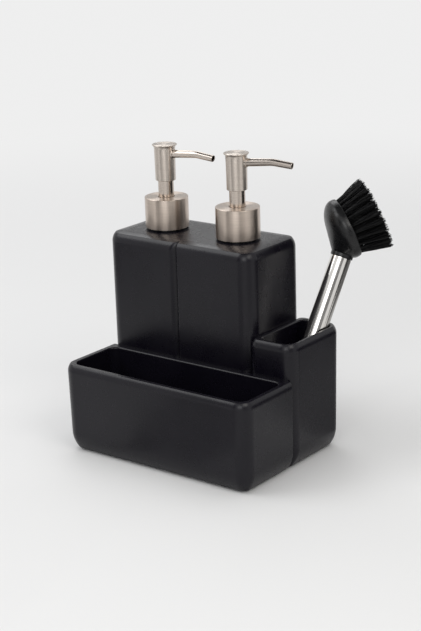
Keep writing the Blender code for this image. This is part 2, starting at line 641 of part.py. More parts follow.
def build_head(side, seat, turn):
    """The pump head that turns on the rod: shell, core, the sleeve below it and the spout."""
    waist = head_top - HEAD_RIM - HEAD_FLARE
    flare = arc((HEAD_TOP_RADIUS, waist), HEAD_TOP_RADIUS - HEAD_WAIST_RADIUS, HEAD_FLARE,
                math.pi, math.pi / 2, EDGE_STEPS)
    shell = add_piece(side + "_head_shell", turned([
        (0, head_top - HEAD_CROWN), (HEAD_BORE_RADIUS, head_top - HEAD_CROWN), (HEAD_BORE_RADIUS, head_low),
        (HEAD_FOOT_RADIUS - HEAD_CHAMFER, head_low), (HEAD_FOOT_RADIUS, head_low + HEAD_CHAMFER), *flare,
        (HEAD_TOP_RADIUS, head_top), (0, head_top)], SHELL_SIDES), BRUSHED_NICKEL, seat)
    channel_top = spout_level + ROD_BORE_RADIUS
    socket = ROD_RADIUS + GAP
    core = add_piece(side + "_head_core", turned([
        (0, channel_top), (ROD_BORE_RADIUS, channel_top), (ROD_BORE_RADIUS, core_low + ROD_SOCKET),
        (socket, core_low + ROD_SOCKET), (socket, core_low), (CORE_RADIUS, core_low), (CORE_RADIUS, core_top),
        (0, core_top)], INNER_SIDES), BLACK_MOULDED, seat)
    line = spout_line()
    hole = add_piece(side + "_spout_hole", turned([
        (0, 0), (SPOUT_RADIUS + GAP, 0), (SPOUT_RADIUS + GAP, HEAD_TOP_RADIUS + OVERRUN),
        (0, HEAD_TOP_RADIUS + OVERRUN)], INNER_SIDES))
    start = line[0] - (line[1] - line[0]).normalized() * SPOUT_START
    hole.data.transform(Matrix.Translation(start) @ (line[1] - line[0]).to_track_quat("Z", "Y").to_matrix().to_4x4())
    hole.location = seat
    hole.rotation_euler = (0, 0, turn)
    combine(shell, hole, "DIFFERENCE")
    combine(core, hole, "DIFFERENCE")
    reach = SPOUT_REACH - SPOUT_START
    outer = [SPOUT_RADIUS - (SPOUT_RADIUS - SPOUT_TIP_RADIUS) * (point.x - SPOUT_START) / reach for point in line]
    inner = [radius - SPOUT_SHEET for radius in outer]
    spout = add_piece(side + "_spout", tube_skin(line, outer, inner, INNER_SIDES), BRUSHED_NICKEL, seat)
    spout.rotation_euler = (0, 0, turn)
    sleeve_low = guide_low + SLEEVE_TAIL_CLEARANCE
    sleeve_top = head_low + SLEEVE_SOCKET
    add_piece(side + "_stem_sleeve", turned([
        (SLEEVE_RADIUS - SLEEVE_WALL, sleeve_low), (SLEEVE_RADIUS, sleeve_low), (SLEEVE_RADIUS, sleeve_top),
        (SLEEVE_RADIUS - SLEEVE_WALL, sleeve_top)], FINE_SIDES), BRUSHED_NICKEL, seat)


def build_pump(side, turn):
    """One complete pump on its bottle."""
    seat = pump_seat(side)
    build_neck(side, seat)
    build_collar(side, seat)
    build_pump_body(side, seat)
    build_spring(side, seat)
    build_plunger(side, seat)
    build_head(side, seat, turn)


def brush_stance():
    """The handle's foot and direction: it stands in the cup's front left corner and leans into the back right."""
    walls = Vector((well_left + WELL_DRAFT, well_front + WELL_DRAFT, floor_level))
    lip = Vector((well_right + LIP_RADIUS, well_back + LIP_RADIUS, cup_rim - LIP_RADIUS))
    reach = HANDLE_RADIUS + GAP + LIP_RADIUS
    direction = Vector((0, 0, 1))
    for _ in range(STANCE_ROUNDS):
        # The foot's rounded edge just clears two walls and the floor, and the tube just clears the lip.
        foot = Vector([wall + GAP + (HANDLE_RADIUS - CAP_DOME) * math.sqrt(1 - lean ** 2) + CAP_DOME * (1 - lean)
                       for wall, lean in zip(walls, direction)])
        rest = Vector([edge - reach * math.hypot(1, lean / direction.z) for edge, lean in zip(lip, direction)])
        rest.z = lip.z
        direction = (rest - foot).normalized()
    return foot, direction


def build_brush():
    """The dish brush: handle tube, foot cap, head and bristles, all in a frame whose Z is the handle's line."""
    foot, upward = brush_stance()
    heading = Vector((math.cos(BRUSH_HEADING), math.sin(BRUSH_HEADING), 0))
    facing = (heading - heading.dot(upward) * upward).normalized()
    stance = bpy.data.objects.new("brush_stance", None)
    bpy.context.collection.objects.link(stance)
    stance.matrix_world = Matrix.Translation(foot) @ Matrix(
        (facing, upward.cross(facing), upward)).transposed().to_4x4()
    bpy.context.view_layer.update()
    print("brush foot", [round(value, 5) for value in foot], "line", [round(value, 5) for value in upward])

    bore = HANDLE_RADIUS - HANDLE_WALL
    add_piece("brush_handle_tube", turned([
        (bore, CAP_DOME + GAP), (HANDLE_RADIUS, CAP_DOME + GAP), (HANDLE_RADIUS, HANDLE_LENGTH),
        (bore, HANDLE_LENGTH)], SHELL_SIDES), POLISHED_STEEL, parent=stance)
    plug = bore - GAP
    dome = arc((HANDLE_RADIUS - CAP_DOME, CAP_DOME), CAP_DOME, CAP_DOME, 0, -math.pi / 2, EDGE_STEPS)
    add_piece("brush_handle_cap", turned([
        (0, CAP_DOME + CAP_PLUG), (plug, CAP_DOME + CAP_PLUG), (plug, CAP_DOME), *dome, (0, 0)],
        SHELL_SIDES), BLACK_MOULDED, parent=stance)
    build_brush_head(stance, plug)


def hull_of_rounds(rounds, sides):
    """The skin stretched over circles: for each placing matrix, every point is carried round its own Z axis."""
    bm = bmesh.new()
    for placed, points in rounds:
        for point in points:
            for number in range(sides if point.x > 0 else 1):
                bm.verts.new(placed @ (Matrix.Rotation(2 * math.pi * number / sides, 4, "Z") @ point))
    bmesh.ops.remove_doubles(bm, verts=bm.verts, dist=MERGE_DISTANCE)
    made = bmesh.ops.convex_hull(bm, input=bm.verts, use_existing_faces=False)
    inside = {item for item in made["geom_interior"] + made["geom_unused"] if isinstance(item, bmesh.types.BMVert)}
    bmesh.ops.delete(bm, geom=list(inside), context="VERTS")
    return bm


def build_brush_head(stance, spigot_radius):
    """The domed head that tapers to its collar on the handle, and the plate of bristles set in its face."""
    mouth = Vector((0, 0, HANDLE_LENGTH + GAP))
    normal = Vector((math.sin(BRUSH_HEAD_ANGLE), 0, math.cos(BRUSH_HEAD_ANGLE)))
    across = Vector((-math.cos(BRUSH_HEAD_ANGLE), 0, math.sin(BRUSH_HEAD_ANGLE)))
    placed = Matrix.Translation(mouth + across * HEAD_OFFSET) @ Matrix(
        (across, normal.cross(across), normal)).transposed().to_4x4()
    face = BRUSH_HEAD_WIDEST + BRUSH_HEAD_LIP
    recess = face - PLATE_THICKNESS - GAP
    back = arc((0, BRUSH_HEAD_WIDEST), BRUSH_HEAD_RADIUS, BRUSH_HEAD_DOME, -math.pi / 2, 0, EDGE_STEPS * 2)
    lip = arc((BRUSH_HEAD_RADIUS - LIP_TURN_IN, BRUSH_HEAD_WIDEST), LIP_TURN_IN, BRUSH_HEAD_LIP,
              0, math.pi / 2, EDGE_STEPS)
    taper = [Vector((NECK_RADIUS_IN_HEAD, 0, mouth.z + NECK_TAPER_START))]
    rounds = [(placed, [Vector((radius, 0, height)) for radius, height in (*back, *lip[1:])]), (Matrix(), taper)]
    head = add_piece("brush_head", hull_of_rounds(rounds, SHELL_SIDES), BLACK_MOULDED, parent=stance)
    neck = add_piece("brush_neck_shape", turned([
        (0, HANDLE_LENGTH - SPIGOT_LENGTH), (spigot_radius, HANDLE_LENGTH - SPIGOT_LENGTH),
        (spigot_radius, mouth.z), (NECK_COLLAR_RADIUS, mouth.z),
        (NECK_COLLAR_RADIUS, mouth.z + NECK_COLLAR), (0, mouth.z + NECK_COLLAR)], SHELL_SIDES), parent=stance)
    combine(head, neck, "UNION")
    pocket_mesh = turned([(0, recess), (PLATE_RADIUS + GAP, recess), (PLATE_RADIUS + GAP, face + OVERRUN),
                          (0, face + OVERRUN)], SHELL_SIDES)
    bmesh.ops.transform(pocket_mesh, matrix=placed, verts=pocket_mesh.verts)
    combine(head, add_piece("brush_pocket", pocket_mesh, parent=stance), "DIFFERENCE")

    plate_low = recess + GAP
    plate_mesh = turned([(0, plate_low), (PLATE_RADIUS, plate_low), (PLATE_RADIUS, face), (0, face)], SHELL_SIDES)
    bmesh.ops.transform(plate_mesh, matrix=placed, verts=plate_mesh.verts)
    plate = add_piece("brush_bristles", plate_mesh, BLACK_NYLON, parent=stance)
    strands = bristle_mesh(face)
    bmesh.ops.transform(strands, matrix=placed, verts=strands.verts)
    combine(plate, add_piece("bristle_strands", strands, parent=stance), "UNION")


def tuft_centres():
    """Tuft places in concentric rings, as shares of the field's radius, evenly spaced."""
    places = [(0.0, 0.0)]
    for ring in range(1, TUFT_RINGS + 1):
        for number in range(6 * ring):
            angle = 2 * math.pi * number / (6 * ring)
            places.append((ring / TUFT_RINGS * math.cos(angle), ring / TUFT_RINGS * math.sin(angle)))
    return places


def bristle_mesh(face):
    """All the bristles: straight tapering strands that fan out from their tufts and never cross."""
    bm = bmesh.new()
    root_field = BRISTLE_FIELD_RADIUS - TUFT_RADIUS
    tip_field = BRISTLE_TIP_RADIUS - TUFT_TIP_RADIUS
    serial = 0
    for share_x, share_y in tuft_centres():
        for number in range(BRISTLES_IN_TUFT):
            ring_share = 0.0 if number == 0 else 1.0
            angle = 2 * math.pi * number / (BRISTLES_IN_TUFT - 1)
            spread = Vector((math.cos(angle), math.sin(angle), 0)) * ring_share
            length = BRISTLE_LENGTH - TIP_STAGGER * (serial * 7 % 5) / 4
            root = Vector((share_x * root_field, share_y * root_field, face - BURIED)) + spread * TUFT_RADIUS
            tip = Vector((share_x * tip_field - BRISTLE_LEAN, share_y * tip_field, face + length)) \
                + spread * TUFT_TIP_RADIUS
            ends = []
            for centre in (root, tip):
                ends.append([bm.verts.new(centre + BRISTLE_RADIUS * Vector((
                    math.cos(2 * math.pi * k / BRISTLE_SIDES), math.sin(2 * math.pi * k / BRISTLE_SIDES), 0)))
                    for k in range(BRISTLE_SIDES)])
            for k in range(BRISTLE_SIDES):
                j = (k + 1) % BRISTLE_SIDES
                bm.faces.new((ends[0][k], ends[0][j], ends[1][j], ends[1][k]))
            bm.faces.new(ends[0][::-1])
            bm.faces.new(ends[1])
            serial += 1
    return bm


build_pad()
build_body()
build_pump("left", LEFT_SPOUT_TURN)
build_pump("right", RIGHT_SPOUT_TURN)
build_brush()
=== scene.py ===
# %% [markdown]
# A sink caddy in one black casting: two soap bottles with metal pumps, a trough for the sponge and a cup
# that holds a dish brush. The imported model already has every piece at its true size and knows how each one
# moves. This file adds what the eye sees: finer skins over the main pieces, their finishes, and a small
# photo studio. Nothing here moves or resizes the model. Each new skin rides on the body that it dresses,
# so a pressed pump head or a lifted brush takes its looks along.

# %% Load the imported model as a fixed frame
import json
import math

import bmesh
import bpy
import numpy as np
from mathutils import Matrix, Vector


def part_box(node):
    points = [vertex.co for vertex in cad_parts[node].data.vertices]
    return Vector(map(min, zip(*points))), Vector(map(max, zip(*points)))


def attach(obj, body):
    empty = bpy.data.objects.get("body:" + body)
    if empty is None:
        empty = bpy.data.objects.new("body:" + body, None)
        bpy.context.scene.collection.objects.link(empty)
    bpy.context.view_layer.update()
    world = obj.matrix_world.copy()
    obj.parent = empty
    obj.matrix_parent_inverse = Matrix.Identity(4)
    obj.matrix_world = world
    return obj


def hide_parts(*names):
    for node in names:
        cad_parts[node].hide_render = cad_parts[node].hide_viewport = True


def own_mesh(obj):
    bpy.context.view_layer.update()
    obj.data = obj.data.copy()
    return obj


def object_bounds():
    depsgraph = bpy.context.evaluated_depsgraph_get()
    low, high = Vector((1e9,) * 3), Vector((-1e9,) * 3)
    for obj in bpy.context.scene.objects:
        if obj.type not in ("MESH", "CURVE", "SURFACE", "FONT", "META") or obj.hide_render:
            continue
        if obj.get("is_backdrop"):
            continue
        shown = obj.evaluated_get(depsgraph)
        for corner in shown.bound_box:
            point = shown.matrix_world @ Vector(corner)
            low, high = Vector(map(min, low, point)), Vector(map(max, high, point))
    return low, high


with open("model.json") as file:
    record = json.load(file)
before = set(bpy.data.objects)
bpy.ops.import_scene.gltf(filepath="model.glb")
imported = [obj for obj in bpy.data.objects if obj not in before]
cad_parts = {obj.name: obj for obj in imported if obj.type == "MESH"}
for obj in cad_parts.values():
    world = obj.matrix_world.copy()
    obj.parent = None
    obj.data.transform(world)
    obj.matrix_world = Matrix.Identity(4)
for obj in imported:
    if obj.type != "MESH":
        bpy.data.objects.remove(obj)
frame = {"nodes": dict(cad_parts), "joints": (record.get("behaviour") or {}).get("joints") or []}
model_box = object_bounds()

# %% [markdown]
# The photographer stood to the right of the caddy and looked down at it. A camera can be aimed with a
# constraint, but four plain numbers say more: how far round, how far up, how much it tilts, and how far
# away it is from the point in the middle of the picture. The three axes of the camera follow from them.
# The lens is data, and the object that stands in the scene is another block, so `put` adds that one.

# %% Set up the camera
CAMERA_AIM = Vector((0.00365, 0.00790, 0.10163))
CAMERA_DISTANCE = 1.19
CAMERA_ROUND = math.radians(37.776)      # from the front towards the right
CAMERA_UP = math.radians(17.220)
CAMERA_ROLL = math.radians(-1.848)
LENS = 91.905                            # millimetres, on a sensor 36 mm along its long side

backward = Vector((math.sin(CAMERA_ROUND) * math.cos(CAMERA_UP),
                   -math.cos(CAMERA_ROUND) * math.cos(CAMERA_UP), math.sin(CAMERA_UP)))
level = Vector((math.cos(CAMERA_ROUND), math.sin(CAMERA_ROUND), 0))
upright = backward.cross(level)
sideways = level * math.cos(CAMERA_ROLL) + upright * math.sin(CAMERA_ROLL)
turned_axes = Matrix((sideways, backward.cross(sideways), backward)).transposed()


def put(name, data):
    """Adds an object with this data to the scene."""
    thing = bpy.data.objects.new(name, data)
    bpy.context.scene.collection.objects.link(thing)
    return thing


lens = bpy.data.cameras.new("studio_camera")
lens.lens = LENS
camera = put("studio_camera", lens)
camera.matrix_world = Matrix.Translation(CAMERA_AIM + backward * CAMERA_DISTANCE) @ turned_axes.to_4x4()
bpy.context.scene.camera = camera
bpy.context.scene.view_settings.view_transform = "Standard"
print("camera at", [round(value, 3) for value in camera.location])

# %% [markdown]
# Every finish below is a small network of shader nodes, and most networks need the same few steps: add a
# node, set its inputs, join two sockets. Doing that by hand each time hides the idea in wiring, so two
# helpers do the wiring. A plain value always goes straight onto the shader's own socket.

# %% Helpers for finishes
def new_finish(name, colour, roughness, metallic=0.0, **sockets):
    """A Principled material with its plain values on the shader's own sockets; gives back both."""
    finish = bpy.data.materials.new(name)
    finish.use_nodes = True
    shader = finish.node_tree.nodes["Principled BSDF"]
    shader.inputs["Base Color"].default_value = (*colour, 1.0)
    shader.inputs["Roughness"].default_value = roughness
    shader.inputs["Metallic"].default_value = metallic
    for socket, value in sockets.items():
        shader.inputs[socket.replace("_", " ")].default_value = value
    return finish, shader


def node(finish, kind, inputs=None, **settings):
    """Adds a node. Settings are its properties; an input is a value, or another node's output to link."""
    tree = finish.node_tree
    made = tree.nodes.new("ShaderNode" + kind)
    for key, value in settings.items():
        setattr(made, key, value)
    for key, value in (inputs or {}).items():
        if isinstance(value, bpy.types.NodeSocket):
            tree.links.new(value, made.inputs[key])
        else:
            made.inputs[key].default_value = value
    return made


print("finishes can be made and wired")

# %% [markdown]
# No real surface is one flat value. A noise in the piece's own coordinates makes it drift: spread over a
# range it becomes a gloss, between two colours a tone, and as a bump a relief with a real depth in metres.

# %% Helpers for grain, tone and relief
def own_place(finish):
    """The point on the piece in the piece's own coordinates, in metres."""
    return node(finish, "TexCoord").outputs["Object"]


def grain(finish, per_metre, detail=3.0, stretch=(1, 1, 1)):
    """A noise value round 0.5 with this many waves a metre, stretched along the piece's own axes."""
    shrunk = node(finish, "VectorMath", {0: own_place(finish), 1: stretch}, operation="MULTIPLY")
    made = node(finish, "TexNoise", {"Vector": shrunk.outputs[0], "Scale": per_metre, "Detail": detail})
    return made.outputs["Fac"]


def between(finish, value, low, high, start=0.3, end=0.7):
    """Spreads a value from start..end over low..high."""
    return node(finish, "MapRange", {"Value": value, "From Min": start, "From Max": end,
                                     "To Min": low, "To Max": high}).outputs["Result"]


def shade(colour, factor):
    """The same colour, darker or lighter by this factor."""
    return tuple(min(value * factor, 1) for value in colour)


def two_tone(finish, value, dark, light):
    """Mixes two colours by a value from 0 to 1."""
    mixed = node(finish, "Mix", {"Factor": value}, data_type="RGBA")
    mixed.inputs[6].default_value = (*dark, 1.0)
    mixed.inputs[7].default_value = (*light, 1.0)
    return mixed.outputs[2]


def feed(finish, shader, **outputs):
    """Joins node outputs to the shader's sockets."""
    for socket, output in outputs.items():
        finish.node_tree.links.new(output, shader.inputs[socket.replace("_", " ")])


def bump(finish, height, depth, below=None):
    """A bump of this real depth in metres, on top of another one if that is given."""
    made = node(finish, "Bump", {"Height": height, "Distance": depth, "Strength": 1.0})
    if below is not None:
        finish.node_tree.links.new(below, made.inputs["Normal"])
    return made.outputs["Normal"]


print("grain, tone and relief ready")

# %% [markdown]
# Every piece of this caddy is either moulded in a rounded-box shape or turned on a lathe, so two mesh
# builders cover nearly all of it. `skin` stretches faces over a stack of rings, as a papered lantern does.
# `lathe` turns a profile of (radius, height) points round the Z axis. Blender's spin would do that too, but
# it may number the faces differently from run to run. Both give closed meshes, as a Boolean needs them.

# %% Helpers for shapes
def skin(rings):
    """A closed mesh over rings of equal length, with a flat cap at each end."""
    shape = bmesh.new()
    rows = [[shape.verts.new(point) for point in ring] for ring in rings]
    for low, high in zip(rows, rows[1:]):
        for here in range(len(low)):
            following = (here + 1) % len(low)
            shape.faces.new((low[here], low[following], high[following], high[here]))
    shape.faces.new(rows[0][::-1])
    shape.faces.new(rows[-1])
    return shape


def lathe(profile, sides=96):
    """A solid of revolution. A profile that never touches the axis is closed back to its first point."""
    shape = bmesh.new()
    turns = [math.tau * k / sides for k in range(sides)]
    rows = [[shape.verts.new((radius * math.cos(turn), radius * math.sin(turn), height)) for turn in turns]
            if radius > 0 else [shape.verts.new((0, 0, height))] * sides for radius, height in profile]
    for low, high in zip(rows, rows[1:] + rows[:1] if profile[0][0] > 0 else rows[1:]):
        for here in range(sides):
            following = (here + 1) % sides
            corners = (low[here], low[following], high[following], high[here])
            shape.faces.new(list(dict.fromkeys(corners)))    # on the axis two corners are one
    return shape


print("skins and lathed shapes ready")

# %% [markdown]
# Three small jobs come back with almost every piece: rounding a corner of a profile, setting a shape down
# elsewhere, and turning it into mesh data. That last step merges doubled points and turns all faces
# outwards, since a face that points inwards takes its light from the wrong side.

# %% Helpers that round, move and finish a shape
WELD = 0.000001                          # points nearer than this count as one


def curve_round(centre, across, up, start, end, steps=6):
    """Profile points on an elliptical arc; angles in degrees from the outward direction."""
    angles = [math.radians(start + (end - start) * step / steps) for step in range(steps + 1)]
    return [(centre[0] + across * math.cos(angle), centre[1] + up * math.sin(angle)) for angle in angles]


def moved(shape, matrix):
    """The same shape, set down somewhere else."""
    bmesh.ops.transform(shape, matrix=matrix, verts=shape.verts)
    return shape


def to_mesh(name, shape):
    """Turns a finished bmesh into mesh data with its faces pointing outwards."""
    bmesh.ops.remove_doubles(shape, verts=shape.verts, dist=WELD)
    bmesh.ops.recalc_face_normals(shape, faces=shape.faces)
    mesh = bpy.data.meshes.new(name)
    shape.to_mesh(mesh)
    shape.free()
    return mesh


print("corners, moves and meshes ready")

# %% [markdown]
# A finished piece needs a handful of calls every time: smooth shading with the real edges kept sharp, a
# place, a finish, the body that it rides on, and the plain node that it stands for. One helper keeps them
# together, so no piece can miss one.

# %% Helper that sets a piece down in the scene
def show(name, shape, finish, body, nodes=(), place=Matrix(), sharp=34):
    """Adds a piece at its place, rides it on its body and hides the plain nodes that it stands for."""
    mesh = to_mesh(name, shape) if isinstance(shape, bmesh.types.BMesh) else shape
    mesh.shade_smooth()
    mesh.set_sharp_from_angle(angle=math.radians(sharp))
    mesh.materials.clear()
    mesh.materials.append(finish)
    piece = put(name, mesh)
    piece.matrix_world = place
    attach(piece, body)
    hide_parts(*nodes)
    print(name, len(mesh.polygons), "faces")
    return piece


print("pieces can be set down")

# %% [markdown]
# The Boolean modifier can join and carve closed meshes exactly. The guides stand in the scene only while
# the modifiers are evaluated; the result is kept as plain mesh data and the guides are thrown away.

# %% Helper that joins and carves shapes
def carved(name, base, steps):
    """Mesh data of a base shape after a list of (operation, shape) steps."""
    scrap = []
    for number, shape in enumerate([base, *(shape for _, shape in steps)]):
        label = f"{name}_guide_{number}"
        scrap.append(put(label, to_mesh(label, shape)))
    for (operation, _), guide in zip(steps, scrap[1:]):
        cut = scrap[0].modifiers.new("cut", "BOOLEAN")
        cut.operation = operation
        cut.solver = "EXACT"
        cut.object = guide
    bpy.context.view_layer.update()
    ready = scrap[0].evaluated_get(bpy.context.evaluated_depsgraph_get())
    mesh = bpy.data.meshes.new_from_object(ready)
    mesh.name = name
    for guide in scrap:
        spare = guide.data
        bpy.data.objects.remove(guide)
        bpy.data.meshes.remove(spare)
    return mesh


print("joining and carving ready")

# %% [markdown]
# The casting is four rounded boxes run together: two tall soap bottles, the sponge trough in front of them
# and the brush cup on the right. Each box leans in a little towards its foot, as a casting must to leave its
# mould. A ring of points for every level gives full control of each corner's own radius, which a bevelled
# cube can't do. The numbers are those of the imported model, so the skin sits exactly on it.

# %% Sizes of the casting
LEFT, RIGHT, FRONT, BACK = -0.0845, 0.0845, -0.0615, 0.0615
TOWER_FRONT, TOWER_LEFT, TOWER_SPLIT, TOWER_RIGHT = -0.0045, -0.0839, -0.0174, 0.0491
CUP_LEFT = 0.0471                        # hidden inside the right bottle
UNDERSIDE, TROUGH_RIM, CUP_RIM, TOWER_TOP = 0.0013, 0.0679, 0.0943, 0.1573
WELL_FLOOR = 0.0063                      # of the trough, the cup and both bottles
WALL, CUP_WALL = 0.0062, 0.0047
TROUGH_BACK_WALL, CUP_INNER_WALL = 0.004, 0.0037
HALF_PARTITION = 0.0025                  # half of the wall between the bottles
CROWN_WALL = 0.007                       # from a bottle's top down to its chamber
LEAN, BOTTLE_LEAN, WELL_LEAN = 0.0011, 0.0005, 0.0004    # how far a side leans in at its foot
LIP, INNER_FOOT = 0.0012, 0.004          # radii of a well's eased mouth and of its floor's edge
LEAST_CORNER = 0.0009                    # no upright corner gets sharper than this
OVERLAP, TROUGH_OVERLAP = 0.001, 0.0015  # how far a block runs into its neighbour
FOOT_ARCS = (0.022, 36), (0.0006, 90)    # each (radius, degrees turned in at its end)
SHOULDER_ARCS = (0.010, 42), (0.0005, 76)
RIM_ARCS = (0.009, 40), (0.0005, 90)
CROWN_RISE, CROWN_REACH = 0.001, 0.011   # a bottle's top rises this much, this far in from its side
NECK_HOLE, NECK_HOLE_DEPTH = 0.0122, 0.010
CLEARANCE = 0.003                        # how far a cutter stands out of the opening it makes
SEATS = {"left": Vector((-0.05065, 0.0285, TOWER_TOP)), "right": Vector((0.01585, 0.0285, TOWER_TOP))}

print("casting", round((RIGHT - LEFT) * 1000), "x", round((BACK - FRONT) * 1000), "mm")

# %% [markdown]
# A block of the casting is a stack of rounded rectangles. Where a side turns in, at the foot, a shoulder
# or a rim, the rectangles shrink along arcs. Each block says which of its sides do so: the others end
# inside a neighbour and stay straight, so that no groove opens between two blocks.

# %% Helpers for the blocks and the wells
def rounded_rectangle(x_low, x_high, y_low, y_high, radii, z, steps=14):
    """A ring anticlockwise from the front right corner, each corner with its own radius."""
    corners = ((x_high, y_low, 1, -1), (x_high, y_high, 1, 1),
               (x_low, y_high, -1, 1), (x_low, y_low, -1, -1))
    ring = []
    for number, ((x, y, across, along), radius) in enumerate(zip(corners, radii)):
        for step in range(steps + 1):
            angle = math.pi / 2 * (number - 1 + step / steps)
            ring.append((x - across * radius + radius * math.cos(angle),
                         y - along * radius + radius * math.sin(angle), z))
    return ring


def turned_side(*arcs, steps=8):
    """(inset, drop) pairs up a side that turns inwards; an arc is (radius, degrees turned at its end)."""
    inset = rise = before = 0.0
    climb = [(0.0, 0.0)]
    for radius, degrees in arcs:
        for turn in np.linspace(before, math.radians(degrees), steps + 1)[1:]:
            climb.append((inset + radius * (math.cos(before) - math.cos(turn)),
                          rise + radius * (math.sin(turn) - math.sin(before))))
        inset, rise = climb[-1]
        before = math.radians(degrees)
    return [(inset, rise - height) for inset, height in climb]


def cast_block(low, high, radii, foot_sides, top_sides, top_levels, lean):
    """One rounded box of the casting. Only the named sides turn in; the others are inside a neighbour."""
    height = high[2] - low[2]
    foot_levels = turned_side(*FOOT_ARCS)[::-1]
    levels = [(inset + lean * (1 - rise / height), rise, foot_sides) for inset, rise in foot_levels]
    levels += [(inset + lean * drop / height, height - drop, top_sides) for inset, drop in top_levels]
    return skin([rounded_rectangle(
        low[0] + ("left" in sides) * inset, high[0] - ("right" in sides) * inset,
        low[1] + ("front" in sides) * inset, high[1] - ("back" in sides) * inset,
        [max(radius - inset, LEAST_CORNER) for radius in radii], low[2] + rise)
        for inset, rise, sides in levels])


def hollow(low, high, open_top, radius=0.0065):
    """A cutter for a well or a chamber, with a rounded floor and an eased lip where it opens upwards."""
    height = high[2] - low[2]
    floor_edge = turned_side((INNER_FOOT, 90))
    levels = [(inset + WELL_LEAN * (1 - rise / height), rise) for inset, rise in floor_edge[::-1]]
    if open_top:
        levels += [(-inset, height - drop) for inset, drop in turned_side((LIP, 90))]
        levels.append((-LIP, height + CLEARANCE))
    else:
        levels += [(inset, height - drop) for inset, drop in floor_edge]
    return skin([rounded_rectangle(
        low[0] + inset, high[0] - inset, low[1] + inset, high[1] - inset,
        [max(radius - inset, LEAST_CORNER)] * 4, low[2] + rise) for inset, rise in levels])


print("blocks and wells ready")

# %% [markdown]
# The black of the casting is not one black. A satin coat over a mineral-filled casting has a fine tooth, a
# slow waviness where the mould was polished by hand, and a gloss that drifts from place to place. Noises
# of very different scales give these, and none of them is strong enough to be noticed by itself.

# %% Finish of the casting
black_cast, cast_shader = new_finish("black_cast", (0.004, 0.004, 0.005), 0.28, IOR=1.36)
cloud = grain(black_cast, 24, detail=2)
pores = grain(black_cast, 1500, detail=2)
feed(black_cast, cast_shader,
     Base_Color=two_tone(black_cast, between(black_cast, cloud, 0, 1), (0.0034, 0.0028, 0.0058),
                         (0.0058, 0.0050, 0.0086)),
     Roughness=between(black_cast, grain(black_cast, 90, detail=3), 0.25, 0.31),
     Normal=bump(black_cast, pores, 0.0000006, below=bump(
         black_cast, grain(black_cast, 260, detail=1), 0.0000015, below=bump(black_cast, cloud, 0.00010))))
print("casting finish ready")

# %% [markdown]
# A Boolean needs volumes that truly overlap, so each block runs a millimetre or more into its neighbour.
# The four radii of a block are those of its upright corners, from the front right one anticlockwise. A
# bottle's shoulder turns in, stops at a crease and goes on as a very low crown.

# %% Shape the blocks of the casting
shoulder = [(inset, drop + CROWN_RISE) for inset, drop in turned_side(*SHOULDER_ARCS)]
crease = shoulder[-1][0]
shoulder += [(crease + (CROWN_REACH - crease) * share, CROWN_RISE * (1 - share) ** 2)
             for share in np.linspace(0, 1, 9)[1:]]
rim = turned_side(*RIM_ARCS)
left_bottle = cast_block(
    (TOWER_LEFT, TOWER_FRONT, UNDERSIDE), (TOWER_SPLIT + OVERLAP, BACK, TOWER_TOP),
    (0.008, 0.008, 0.011, 0.011), ("left", "back"), ("left", "front", "back"), shoulder, BOTTLE_LEAN)
right_bottle = cast_block(
    (TOWER_SPLIT, TOWER_FRONT, UNDERSIDE), (TOWER_RIGHT, BACK, TOWER_TOP),
    (0.011, 0.011, 0.0018, 0.0018), ("back",), ("right", "front", "back"), shoulder, BOTTLE_LEAN)
cup = cast_block(
    (CUP_LEFT, TOWER_FRONT, UNDERSIDE), (RIGHT, BACK, CUP_RIM),
    (0.011, 0.011, 0.006, 0.006), ("right", "back"), ("left", "right", "front", "back"), rim, LEAN)
trough = cast_block(
    (LEFT, FRONT, UNDERSIDE), (RIGHT, TOWER_FRONT + TROUGH_OVERLAP, TROUGH_RIM),
    (0.011, 0.0018, 0.0018, 0.011), ("left", "right", "front"), ("left", "right", "front"), rim, LEAN)
print("crease", round(crease * 1000, 1), "mm in from a bottle's side")

# %% [markdown]
# Once the blocks are one, the wells are carved out: the trough, the cup, a hidden chamber in each bottle
# for the dip tube to hang in, and a hole for each neck. Weighted normals then keep the large faces flat
# right up to the fine ones of the roundings.

# %% Join the blocks and carve the wells
trough_well = hollow((LEFT + WALL, FRONT + WALL, WELL_FLOOR),
                     (RIGHT - WALL, TOWER_FRONT - TROUGH_BACK_WALL, TROUGH_RIM), True)
cup_well = hollow((TOWER_RIGHT + CUP_INNER_WALL, TOWER_FRONT + CUP_WALL, WELL_FLOOR),
                  (RIGHT - CUP_WALL, BACK - CUP_WALL, CUP_RIM), True)
steps = [("UNION", right_bottle), ("UNION", cup), ("UNION", trough),
         ("DIFFERENCE", trough_well), ("DIFFERENCE", cup_well)]
for seat, low_x, high_x in ((SEATS["left"], TOWER_LEFT + WALL, TOWER_SPLIT - HALF_PARTITION),
                            (SEATS["right"], TOWER_SPLIT + HALF_PARTITION, TOWER_RIGHT - WALL)):
    steps.append(("DIFFERENCE", hollow((low_x, TOWER_FRONT + WALL, WELL_FLOOR),
                                       (high_x, BACK - WALL, TOWER_TOP - CROWN_WALL), False)))
    neck_hole = lathe([(0, -NECK_HOLE_DEPTH), (NECK_HOLE, -NECK_HOLE_DEPTH),
                       (NECK_HOLE, CLEARANCE), (0, CLEARANCE)], 72)
    steps.append(("DIFFERENCE", moved(neck_hole, Matrix.Translation(seat))))
casting = show("caddy_casting", carved("caddy_casting", left_bottle, steps), black_cast, "caddy",
               ["caddy_body"])
even = casting.modifiers.new("even_shading", "WEIGHTED_NORMAL")
even.keep_sharp = True
even.weight = 100

# %% [markdown]
# The pump's metal is nickel with a warm tint. It was brushed while it turned, so its fine lines run round
# it. Lines are a noise that changes quickly with the distance from the axis and with height, and hardly at
# all round the piece. The shader's own anisotropy, turned a quarter, then draws each highlight out along
# the height, which makes the upright bands that a brushed collar always shows.

